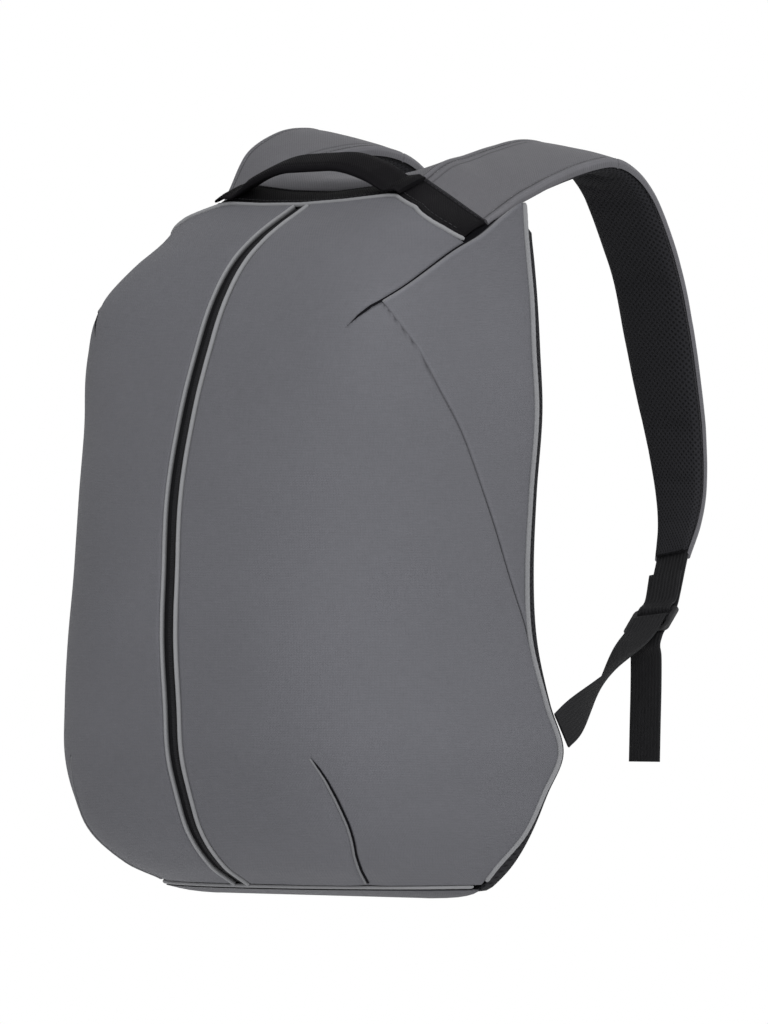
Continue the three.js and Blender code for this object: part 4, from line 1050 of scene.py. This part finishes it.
def top_band():
    half = RIM_END - 1.2
    across = half * (2 * marks(2 * half, 2.4, 0, 1) - 1)
    t = marks(30, 1.4, 0, 1)
    points, outs = band_frame(across[:, None], (0.055 + 0.935 * t)[None, :])
    edge = np.minimum(t, 1 - t) * 29
    relief = -sunk(edge, 1.3, 1.6)[None, :] + 0.25 * np.exp(-((edge - 2.0) / 1.2) ** 2)[None, :]
    relief = relief - 0.3 * np.exp(-((edge - 3.8) / 0.5) ** 2)[None, :]
    ends = half - np.abs(across)
    relief = relief - sunk(ends, 1.2, 2.0)[:, None] + 0.25 * wander(points, 24, 5)
    # painted highlight along the band's rolled edges
    shade = np.broadcast_to((0.7 * np.exp(-((edge - 1.1) / 0.8) ** 2))[None, :], relief.shape)
    points = points + outs * relief[..., None]
    uvs = np.stack(np.broadcast_arrays((t * 29)[None, :], across[:, None]), -1)
    piece = build("top_band_web", *thick(points, outs, 2.6, uvs, shade), BLACK)
    return settle(piece, ["top_band"])


HANDLE_HALF_SPAN = 78.0
HANDLE_TAB = 13.0
HANDLE_FLAT = 13.0
HANDLE_WIDTH = 27.0
HANDLE_THICK = 6.0
HANDLE_RISE = 17.0
HANDLE_LEAN = math.radians(22)


def handle():
    """Padded webbing handle, sewn flat to the band at each end."""
    lift = HANDLE_HALF_SPAN - HANDLE_TAB
    centre_y = band_at(0.0, 0.5)[1]
    across = np.array([0.0, math.cos(HANDLE_LEAN), math.sin(HANDLE_LEAN)])
    out = np.array([0.0, -math.sin(HANDLE_LEAN), math.cos(HANDLE_LEAN)])

    def band_high(x):
        p = band_at(min(abs(x), RIM_END - 3), np.array([0.05, 0.3, 0.5, 0.7, 1.0]))
        s = (p[:, 1] - centre_y) / math.cos(HANDLE_LEAN)
        return float(np.max(p[:, 2] - s * math.sin(HANDLE_LEAN)))

    turn = np.linspace(0, 2 * np.pi, 33)[:-1]
    wide = np.sign(np.cos(turn)) * np.abs(np.cos(turn)) ** 0.45
    tall = np.sign(np.sin(turn)) * np.abs(np.sin(turn)) ** 0.7
    loops, tone = [], []
    for x in np.linspace(-HANDLE_HALF_SPAN, HANDLE_HALF_SPAN, 121):
        off = max(abs(x), HANDLE_FLAT) - HANDLE_FLAT
        rise = max(0.0, 1 - (off / (lift - HANDLE_FLAT)) ** 2) ** 1.2
        bottom = band_high(off + HANDLE_FLAT) + 0.4 + HANDLE_RISE * rise
        full = HANDLE_THICK * (0.45 + 0.55 * min(1.0, rise * 2.5))
        crown = full / 2 * (1 + 0.10 * (1 - wide ** 2) * min(1.0, rise * 2))
        groove = 0.35 * np.exp(-((np.abs(wide) - 0.8) / 0.05) ** 2) * (tall > 0)
        centre = np.array([x, centre_y, bottom]) + out * full / 2
        b = tall * crown - groove
        loops.append(centre + across * (wide * HANDLE_WIDTH / 2)[:, None] + out * b[:, None])
        # painted highlight along the handle's rounded sides and painted shade in the fold near each sewn end
        fold = math.exp(-((abs(x) - 70.5) / 0.9) ** 2)
        tone.append(0.5 * np.exp(-((np.abs(wide) - 0.97) / 0.05) ** 2) - 0.9 * fold)
    piece = build("handle_web", *lofted(loops, np.array(tone)), BLACK)
    return settle(piece, ["carry_handle"])


def strap_edges(way, side=1):
    """Edges of the right strap, or of the left one seen in a mirror."""
    row = curve(STRAP_ROWS, np.asarray(way, float) * 16)
    size = np.array([HALF_WIDTH, STRAP_FORWARD, SHELL_HEIGHT])
    outer = row[..., 4:7] * size
    if side < 0:
        outer[..., 2] += row[..., 8] * SHELL_HEIGHT
    return row[..., 1:4] * size, outer, row[..., 7]


def strap_at(way, share, side=1):
    """Points of the strap's outer face and the directions out of it, with the pad's fullness."""
    way, share = np.broadcast_arrays(np.asarray(way, float), np.asarray(share, float))
    inner, outer, full = strap_edges(way, side)
    a_in, a_out, _ = strap_edges(np.minimum(way + 0.005, 1), side)
    b_in, b_out, _ = strap_edges(np.maximum(way - 0.005, 0), side)
    along = a_in + a_out - b_in - b_out
    across = outer - inner
    out = unit(np.cross(across, along))
    point = inner + across * share[..., None]
    point = point + out * (2.2 * (1 - (2 * share - 1) ** 2) * full)[..., None]
    return point, out, full


def strap_length(way):
    inner, outer, _ = strap_edges(way)
    middle = (inner + outer) / 2
    return np.concatenate([[0], np.cumsum(np.linalg.norm(np.diff(middle, axis=0), axis=1))])


def strap_cover(side):
    """Cloth on the outside of the strap, with bound edges, rows of stitching and a cross seam."""
    way = marks(520, 2.6, 0, 1, 0.385)
    share = marks(54, 1.7, 0, 1, 0.085, 0.17, 0.915)
    ways, shares = np.meshgrid(way, share, indexing="ij")
    points, outs, full = strap_at(ways, shares, side)
    inner, outer, _ = strap_edges(way, side)
    width = np.linalg.norm(outer - inner, axis=1)[:, None]
    from_inner, from_outer = shares * width, (1 - shares) * width
    edge = np.minimum(from_inner, from_outer)
    run = strap_length(way)
    cross = np.abs((ways - 0.385) * 520 - 3 * (shares - 0.5))
    relief = -sunk(edge, 2.2, 2.0)
    relief += 0.45 * np.exp(-((edge - 2.4) / 1.6) ** 2)
    relief -= 0.55 * np.exp(-((from_inner - 4.6) / 0.6) ** 2) + 0.4 * np.exp(-((from_inner - 9.0) / 0.6) ** 2)
    relief -= 0.55 * np.exp(-((from_outer - 4.6) / 0.6) ** 2)
    relief -= sunk(cross, 0.8, 2.4)
    seed = 31 if side > 0 else 37
    relief += 0.5 * wander(points, 38, seed) + 0.2 * wander(points, 14, seed + 1)
    points = points + outs * relief[..., None]
    # painted shade in the sunk stitch rows and the cross seam, painted highlight on the rounded bound edges
    shade = -0.55 * np.exp(-((from_inner - 4.6) / 0.55) ** 2) - 0.45 * np.exp(-((from_inner - 9.0) / 0.5) ** 2)
    shade -= 0.45 * np.exp(-((from_outer - 4.6) / 0.55) ** 2) + 0.7 * np.exp(-(cross / 0.7) ** 2)
    shade += 0.4 * np.exp(-((edge - 1.2) / 1.2) ** 2)
    uvs = np.stack(np.broadcast_arrays((share * 50)[None, :], run[:, None]), -1)
    name = "strap_cover_right" if side > 0 else "strap_cover_left"
    piece = build(name.replace("strap_cover", "strap_cloth"), *thick(points, outs, 2.8, uvs, np.clip(shade, -1, 1)),
                  STRAP_GREY, side)
    settle(piece, [name])
    lines = []
    for place in (0.085, 0.915):
        p, n, _ = strap_at(np.linspace(0.015, 0.985, 240), place, side)
        if side < 0:
            p[:, 0] *= -1
            n[:, 0] *= -1
        lines.append((p + n * -0.12, n))
    thread = build(name.replace("strap_cover", "strap_stitching"), *stitches(lines), THREAD)
    settle(thread, [])


def simulated(piece, held, pressure, limit, frames=20):
    """Swells a padded piece as cloth under pressure. Held points stay, and no point moves past the limit."""
    mesh = piece.data
    start = np.array([v.co for v in mesh.vertices])
    group = piece.vertex_groups.new(name="held")
    for k in np.nonzero(held > 0)[0]:
        group.add([int(k)], float(held[k]), "REPLACE")
    cloth = piece.modifiers.new("cloth", "CLOTH")
    settings = cloth.settings
    settings.quality = 5
    settings.mass = 0.2
    settings.tension_stiffness = 12
    settings.compression_stiffness = 8
    settings.bending_stiffness = 0.6
    settings.use_pressure = True
    settings.uniform_pressure_force = pressure
    settings.effector_weights.gravity = 0
    settings.vertex_group_mass = "held"
    cloth.point_cache.frame_start = 1
    cloth.point_cache.frame_end = frames
    scene = bpy.context.scene
    for k in range(1, frames + 1):
        scene.frame_set(k)
    swollen = piece.evaluated_get(bpy.context.evaluated_depsgraph_get())
    moved = np.array([v.co for v in swollen.to_mesh().vertices]) - start
    swollen.to_mesh_clear()
    piece.modifiers.clear()
    piece.vertex_groups.clear()
    scene.frame_set(1)
    length = np.linalg.norm(moved, axis=1, keepdims=True)
    moved = moved * np.minimum(1, limit / np.maximum(length, 1e-9))
    for v, p in zip(mesh.vertices, start + moved):
        v.co = p


def refined(piece):
    """One subdivision of a simulated piece, applied."""
    step = piece.modifiers.new("fine", "SUBSURF")
    step.levels = step.render_levels = 1
    graph = bpy.context.evaluated_depsgraph_get()
    mesh = bpy.data.meshes.new_from_object(piece.evaluated_get(graph))
    piece.modifiers.clear()
    piece.data = mesh
    mesh.polygons.foreach_set("use_smooth", np.ones(len(mesh.polygons), bool))
    return piece


def points_of(piece):
    return np.array([v.co for v in piece.data.vertices]) * 1000 + ORIGIN


def place_points(piece, points, tone):
    for v, p in zip(piece.data.vertices, (points - ORIGIN) / 1000):
        v.co = p
    piece.data.attributes["shade"].data.foreach_set("value", np.asarray(tone, np.float32))


def strap_pad(side):
    """Padded inside of the strap, swollen between its sewn edges."""
    share = np.array([0.03, 0.08, 0.2, 0.35, 0.5, 0.65, 0.8, 0.92, 0.97])
    way = np.linspace(0.012, 0.997, 140)
    ways, shares = np.meshgrid(way, share, indexing="ij")
    points, outs, full = strap_at(ways, shares, side)
    rim = (shares < 0.05) | (shares > 0.95)
    top = points + outs * (-3.4 - np.where(rim, 1.4, 0.2))[..., None]
    belly = 0.7 + 0.3 * np.sqrt(np.clip(1 - (2 * shares - 1) ** 2, 0, 1))
    under = points + outs * (-3.4 - np.where(rim, 2.0 + 1.5 * full, 0.6 + 7.2 * full * belly))[..., None]
    loops = np.concatenate([top, under[:, ::-1]], axis=1)
    name = "strap_pad_right" if side > 0 else "strap_pad_left"
    piece = build(name.replace("strap_pad", "strap_padding"), *lofted(loops), MESH, side)
    held = np.zeros(loops.shape[:2])
    held[:, :len(share) + 1] = 1
    held[:, -1] = 1
    held[:2] = held[-2:] = 1
    simulated(piece, np.concatenate([held.ravel(), [1, 1]]), 4.0, 0.0025)
    refined(piece)
    return settle(piece, [name])


def yoke():
    rows = np.linspace(-0.088, 0.28, 46)
    low_rows = np.array([[-0.0905, 1.0262], [-0.04, 1.0395], [0.03, 1.0455], [0.1, 1.048], [0.18, 1.049], [0.28, 1.049]])
    ways = np.linspace(0, 0.3, 400)
    inner_edge = strap_edges(ways)[0]
    s = np.linspace(-1, 1, 49)
    grid, edges = [], []
    for share in rows:
        y = share * HALF_WIDTH
        way = float(np.interp(y, inner_edge[:, 1], ways))
        p, n, _ = strap_at(way, 0.0)
        side = p[0] - 3.4 * n[0] + 0.1
        low = float(curve(low_rows, share)[1]) * SHELL_HEIGHT
        z = low + (p[2] - 1.4 - low) * np.abs(s) ** 2.2
        grid.append(np.column_stack([s * side, np.full(s.shape, y + 0.3), z]))
        edges.append(y)
    points = np.array(grid)
    outs = np.zeros(points.shape)
    outs[..., 2] = 1
    run = np.array(edges)[:, None] - edges[0]
    relief = 0.4 * wander(points, 22, 44) - sunk(np.broadcast_to(run, points.shape[:2]), 1.2, 2.4)
    # painted shade in the sunk seam along the yoke's front edge
    shade = np.broadcast_to(-0.6 * np.exp(-(run / 1.0) ** 2), points.shape[:2])
    points = points + outs * relief[..., None]
    piece = build("yoke_cloth", *thick(points, outs, 2.6, points[..., :2], shade), STRAP_GREY)
    return settle(piece, ["yoke"])


CHANNEL_LEVELS = (118.0, 215.0, 312.0)
CHANNEL_HALF = 9.0


def channel_depth(x, z, half):
    """Depth of the sewn channels of the back pad, and the distance from its border seam."""
    border = half * 0.88 - np.abs(x)
    within = smooth(border / 4)
    depth = 3.6 * smooth(1 - (np.abs(x) - CHANNEL_HALF) / 6) * within
    for level in CHANNEL_LEVELS:
        bend = level + 10 * np.abs(x / 120) ** 1.5
        depth = np.maximum(depth, 3.0 * smooth(1 - (np.abs(z - bend) - 5) / 6) * within)
    return depth, border


def back_panel():
    """Padded back with a channel down its middle and three across it, swollen between them."""
    across = np.sin(np.linspace(-1, 1, 61) * math.pi / 2 * 0.86) / math.sin(math.pi / 2 * 0.86)
    heights = np.linspace(BACK_ROWS[0, 0], BACK_ROWS[-1, 0], 100)
    arch = 0.8 * SHELL_HEIGHT
    crown = heights[-1] * SHELL_HEIGHT
    loops = []
    for height in heights:
        level = height * SHELL_HEIGHT
        reach = np.abs(across * section(level)[0]) / HALF_WIDTH
        top = np.minimum(crown, np.interp(reach, BAND_BACK[:, 0], BAND_BACK[:, 2]) * SHELL_HEIGHT - 8)
        z = np.full(across.shape, level) if level < arch else arch + (level - arch) / (crown - arch) * (top - arch)
        halves, edge, _, _ = section(z)
        row = curve(BACK_ROWS, z / SHELL_HEIGHT)
        blend = np.abs(across) ** 4
        face = (row[:, 1] + (row[:, 2] - row[:, 1]) * blend) * SHELL_DEPTH
        seam = edge + BACK_SEAM
        inside = np.minimum(face - 12, seam)
        front_y = inside + (seam - inside) * np.abs(across) ** 3
        rounded_rim = 6 * (1 - np.sqrt(np.clip(1 - np.clip((np.abs(across) - 0.94) / 0.06, 0, 1) ** 2, 0, 1)))
        depth = np.maximum(face - rounded_rim, seam + 1.2)
        x = across * (halves + 0.4)
        front = np.column_stack([x, np.minimum(front_y, depth - 1.0), z])
        back = np.column_stack([x, depth, z])
        loops.append(np.concatenate([front, back[::-1]]))
    loops = np.array(loops)
    piece = build("back_padding", *lofted(loops), MESH)
    face = loops[:, len(across):]
    half = section(face[..., 2])[0]
    depth, border = channel_depth(face[..., 0], face[..., 2], half)
    held = np.ones(loops.shape[:2])
    held[:, len(across):] = np.maximum(smooth(depth / 1.5), smooth(1 - border / 3))
    held[:2] = held[-2:] = 1
    simulated(piece, np.concatenate([held.ravel(), [1, 1]]), 4.0, 0.005)
    refined(piece)
    points = points_of(piece)
    normals = np.array([v.normal for v in piece.data.vertices])
    facing = smooth((normals[:, 1] - 0.2) / 0.5)
    depth, border = channel_depth(points[:, 0], points[:, 2], section(points[:, 2])[0])
    points[:, 1] -= (depth + 1.8 * np.exp(-(border / 1.8) ** 2)) * facing
    # painted shade along the sunk border seam of the padded face
    place_points(piece, points, -0.6 * np.exp(-(border / 1.0) ** 2) * facing)
    return settle(piece, ["back_panel"])


# Strap hardware

LOCK_REACH = 54.0
ANCHOR_SHARE = 0.241
WEBBING_THICK = 1.5
TAIL_LENGTH = 80.0
LOCK_TOP = -12.0
LOCK_BOTTOM = 11.0


def anchor_point():
    z = ANCHOR_SHARE * SHELL_HEIGHT
    half, edge, _, _ = section(z)
    return np.array([half + PIPE_RADIUS + WEBBING_THICK / 2, edge + 3, z])


def strap_tip():
    inner, outer, _ = strap_edges(1.0)
    b_in, b_out, _ = strap_edges(0.99)
    middle, before = (inner + outer) / 2, (b_in + b_out) / 2
    return middle, unit(middle - before), unit(outer - inner)


def lock_frame():
    middle, onward, _ = strap_tip()
    anchor = anchor_point()
    upper = unit(unit(anchor - middle) + onward)
    centre = middle + upper * LOCK_REACH
    along = unit(unit(anchor - centre) + upper)
    across = np.array([1.0, 0, 0])
    across = unit(across - along * along[0])
    out = np.cross(across, along)
    return centre, along, across, out


def lock_place(a, n):
    centre, along, _, out = lock_frame()
    return centre + along * a + out * n


def webbing(path, widths, width=25.0, step=1.6):
    """Flat webbing along a path with its width direction at each point, and slightly rounded edges."""
    both = rounded(np.column_stack([path, widths]), step)
    path, widths = both[:, :3], both[:, 3:]
    along = unit(np.gradient(path, axis=0))
    across = unit(widths - along * np.sum(widths * along, axis=1, keepdims=True))
    out = np.cross(across, along)
    a = np.array([-1, -0.985, -0.9, -0.6, -0.2, 0.2, 0.6, 0.9, 0.985, 1.0])
    b = np.array([0.35, 0.8, 1.0, 1.04, 1.0, 1.04, 1.0, 1.0, 0.8, 0.35])
    run_a = np.concatenate([a, a[::-1]]) * width / 2
    run_b = np.concatenate([b, -b[::-1]]) * WEBBING_THICK / 2
    loops = path[:, None] + across[:, None] * run_a[None, :, None] + out[:, None] * run_b[None, :, None]
    edge = width / 2 - np.abs(run_a)
    # painted highlight along the webbing's rounded edges
    tone = np.broadcast_to((0.45 * np.exp(-(edge / 0.9) ** 2))[None, :], loops.shape[:2])
    return lofted(loops, tone)


def strap_loop(side):
    _, _, lock_across, lock_out = lock_frame()
    middle, onward, across = strap_tip()
    out = unit(np.cross(across, onward))
    start = middle + onward * -3.0 + out * -3.4
    bend = middle + onward * 9.8 + out * -3.4
    path = [start, bend]
    for a, n in [(-20, 0.6), (-11.5, 2.5), (-8.5, 2.6), (-7.4, 1.6), (-7.2, 0), (-7.4, -1.6), (-8.5, -2.6),
                 (-11.5, -2.6), (-20, -1.9)]:
        path.append(lock_place(a, n))
    path.append(bend + (lock_place(-20, -1.9) - bend) * 0.25 - lock_out * 3.4)
    widths = [across if k < 2 else lock_across for k in range(len(path))]
    name = "strap_loop_right" if side > 0 else "strap_loop_left"
    piece = build(name.replace("strap_loop", "loop_web"), *webbing(np.array(path), np.array(widths), 24.0), WEB, side)
    return settle(piece, [name])


def adjuster(side):
    _, _, lock_across, _ = lock_frame()
    behind = lock_place(LOCK_BOTTOM + 3, -2.7)
    anchor = anchor_point()
    run = behind - anchor
    flat = np.array([1.0, 0, 0])
    upright = -np.cross(unit(run), flat)
    path, widths = [], []
    for way, turn in [(0.0, 90), (0.12, 88), (0.35, 58), (0.60, 28), (0.85, 4)]:
        point = anchor + run * way
        point[0] += 5 * math.sin(math.pi * way) * (1 - way)
        path.append(point)
        widths.append(flat * math.cos(math.radians(turn)) + upright * math.sin(math.radians(turn)))
    for a, n in [(14, -2.7), (8, -2.6), (1, -2.7), (-1.2, -2.75), (-2.8, -1.8), (-3.1, 0), (-2.8, 1.8), (-1.2, 2.75),
                 (1, 2.7), (8, 2.6)]:
        path.append(lock_place(a, n))
        widths.append(lock_across)
    bend = lock_place(LOCK_BOTTOM + 2, 3.1)
    path.append(bend)
    widths.append(lock_across)
    for forward, down in [(3.2, -5), (4.5, -12), (4.4, -32), (3.6, -54), (2.8, -TAIL_LENGTH + 2)]:
        path.append(bend + np.array([0.5, forward - 4.6, down]))
        widths.append(flat)
    name = "adjuster_webbing_right" if side > 0 else "adjuster_webbing_left"
    piece = build(name.replace("adjuster_webbing", "adjuster_web"), *webbing(np.array(path), np.array(widths)), WEB, side)
    return settle(piece, [name])


def round_corners(corners, radius, steps=5):
    """Polygon with rounded corners."""
    corners = np.array(corners, float)
    points = []
    for k, p in enumerate(corners):
        before, after = unit(corners[k - 1] - p), unit(corners[(k + 1) % len(corners)] - p)
        for t in np.linspace(0, 1, steps + 1):
            points.append(p + before * radius * (1 - t) ** 2 + after * radius * t ** 2)
    return points


def ladder_lock(side):
    """Moulded frame with two slots, rounded edges and a gripped bar."""
    w, inner = 16.1, 13.2
    shapes = [
        round_corners([(-w, LOCK_TOP + 0.4), (w, LOCK_TOP + 0.4), (w, LOCK_BOTTOM - 0.4), (-w, LOCK_BOTTOM - 0.4)], 3.4),
        round_corners([(-inner, LOCK_TOP + 3), (-inner, -1.5), (inner, -1.5), (inner, LOCK_TOP + 3)], 0.9, 3),
        round_corners([(-inner, 1.5), (-inner, LOCK_BOTTOM - 3), (inner, LOCK_BOTTOM - 3), (inner, 1.5)], 0.9, 3),
    ]
    data = bpy.data.curves.new("lock_outline", "CURVE")
    data.dimensions = "2D"
    data.fill_mode = "BOTH"
    data.extrude = 0.9
    data.bevel_depth = 0.4
    data.bevel_resolution = 2
    for shape in shapes:
        spline = data.splines.new("POLY")
        spline.points.add(len(shape) - 1)
        for point, p in zip(spline.points, shape):
            point.co = (p[0], p[1], 0, 1)
        spline.use_cyclic_u = True
    outline = bpy.data.objects.new("lock_outline", data)
    bpy.context.scene.collection.objects.link(outline)
    graph = bpy.context.evaluated_depsgraph_get()
    raw = bpy.data.meshes.new_from_object(outline.evaluated_get(graph))
    verts = np.array([v.co for v in raw.vertices])
    faces = [tuple(p.vertices) for p in raw.polygons]
    bpy.data.objects.remove(outline)
    centre, along, across, out = lock_frame()
    verts = centre + verts[:, :1] * across + verts[:, 1:2] * along + verts[:, 2:3] * out
    name = "ladder_lock_right" if side > 0 else "ladder_lock_left"
    piece = build(name.replace("ladder_lock", "strap_lock"), verts, faces, np.zeros((len(verts), 2)),
                  np.zeros(len(verts)), PLASTIC, side, 30)
    return settle(piece, [name])


def band_stitching():
    """Thread along the band's edges and round the handle's sewn ends."""
    lines = []
    for t in (0.20, 0.90):
        lines.append(band_frame(np.linspace(-(RIM_END - 5), RIM_END - 5, 200), t))
    lines = [(p + n * 0.1, n) for p, n in lines]
    piece = build("band_stitching", *stitches(lines), DARK_THREAD)
    return settle(piece, [])


for half_side in (1, -1):
    front_panel(half_side)
    side_wing(half_side)
    centre_welt(half_side)
    side_piping(half_side)
    strap_cover(half_side)
    strap_pad(half_side)
    strap_loop(half_side)
    adjuster(half_side)
    ladder_lock(half_side)
    darts(half_side)
    root_shadow_fill(half_side)
centre_strip()
top_piping()
base_piping()
base_panel()
top_band()
band_stitching()
handle()
yoke()
back_panel()


# Floor, light and camera

FLOOR = -1.41


def floor():
    """Plain pale floor well below the bag."""
    rings, spokes, reach = 24, 96, 9.0
    verts, faces = [(0.0, 0.0, FLOOR)], []
    for k in range(1, rings + 1):
        for j in range(spokes):
            turn = j / spokes * 2 * math.pi
            verts.append((reach * k / rings * math.cos(turn), reach * k / rings * math.sin(turn), FLOOR))
    for j in range(spokes):
        faces.append((0, 1 + j, 1 + (j + 1) % spokes))
        for k in range(rings - 1):
            a, b = 1 + k * spokes + j, 1 + k * spokes + (j + 1) % spokes
            faces.append((a, a + spokes, b + spokes, b))
    mesh = bpy.data.meshes.new("floor")
    mesh.from_pydata(verts, [], faces)
    s = Surface("pale_floor")
    soft = s.noise(s.place, 1.4, 3.0, 0.5)
    colour = s.blend(soft, (0.86, 0.86, 0.86, 1), (0.90, 0.90, 0.90, 1))
    mesh.materials.append(s.finish(colour, 0.7, soft, 0.0002))
    plane = bpy.data.objects.new("floor", mesh)
    bpy.context.scene.collection.objects.link(plane)


def world():
    """White studio surroundings, dimmer overhead and below."""
    scene = bpy.context.scene
    scene.world = bpy.data.worlds.new("studio")
    scene.world.use_nodes = True
    tree = scene.world.node_tree
    back = tree.nodes["Background"]
    place = tree.nodes.new("ShaderNodeTexCoord")
    split = tree.nodes.new("ShaderNodeSeparateXYZ")
    height = tree.nodes.new("ShaderNodeMath")
    height.operation = "ABSOLUTE"
    ramp = tree.nodes.new("ShaderNodeMapRange")
    ramp.interpolation_type = "SMOOTHSTEP"
    ramp.inputs["From Min"].default_value = 0.22
    ramp.inputs["From Max"].default_value = 0.5
    ramp.inputs["To Min"].default_value = 1.0
    ramp.inputs["To Max"].default_value = 0.45
    tree.links.new(place.outputs["Generated"], split.inputs[0])
    tree.links.new(split.outputs["Z"], height.inputs[0])
    tree.links.new(height.outputs[0], ramp.inputs["Value"])
    tree.links.new(ramp.outputs[0], back.inputs["Strength"])
    back.inputs["Color"].default_value = (1, 1, 1, 1)


def area(name, place, aim, size, power):
    data = bpy.data.lights.new(name, "AREA")
    data.size = size
    data.energy = power
    light = bpy.data.objects.new(name, data)
    light.location = place
    light.rotation_euler = (Vector(aim) - Vector(place)).to_track_quat("-Z", "Y").to_euler()
    bpy.context.scene.collection.objects.link(light)


def sun(toward, power, spread):
    """Very soft light from overhead, which also lights the floor."""
    data = bpy.data.lights.new("overhead", "SUN")
    data.energy = power
    data.angle = math.radians(spread)
    light = bpy.data.objects.new("overhead", data)
    light.rotation_euler = (-Vector(toward)).to_track_quat("-Z", "Y").to_euler()
    bpy.context.scene.collection.objects.link(light)


AZIMUTH = math.radians(42)
ELEVATION = math.radians(-1)
DISTANCE = 5.0
MM_PER_PIXEL = 1.868
ENLARGED = 3.0
# The bag's middle line meets the picture a little left of and below the centre of the view
VIEW_RIGHT = 35.5 * MM_PER_PIXEL
VIEW_UP = 10.5 * MM_PER_PIXEL


def camera():
    toward = np.array([math.sin(AZIMUTH) * math.cos(ELEVATION), -math.cos(AZIMUTH) * math.cos(ELEVATION),
                       math.sin(ELEVATION)])
    right = np.array([math.cos(AZIMUTH), math.sin(AZIMUTH), 0.0])
    up = np.cross(toward, right) * -1
    up = up if up[2] > 0 else -up
    target = (np.array([0.0, -70.0, 220.0]) + right * VIEW_RIGHT + up * VIEW_UP - ORIGIN) / 1000
    data = bpy.data.cameras.new("view")
    data.sensor_fit = "VERTICAL"
    data.sensor_height = 24
    data.lens = 24 * DISTANCE * 1000 / (1024 / ENLARGED * MM_PER_PIXEL)
    data.clip_end = 100
    eye = bpy.data.objects.new("view", data)
    eye.location = target + toward * DISTANCE
    eye.rotation_euler = Vector(-toward).to_track_quat("-Z", "Y").to_euler()
    bpy.context.scene.collection.objects.link(eye)
    bpy.context.scene.camera = eye


floor()
world()
area("key", (2.5, -1.8, 0.9), (0.0, -0.05, -0.1), 1.1, 60)
area("back_rim", (-0.6, 2.6, 1.6), (0.0, 0.0, -0.1), 1.4, 24)
sun((0.25, -0.2, 1.0), 1.5, 50)
bpy.context.scene.view_settings.view_transform = "Standard"
camera()
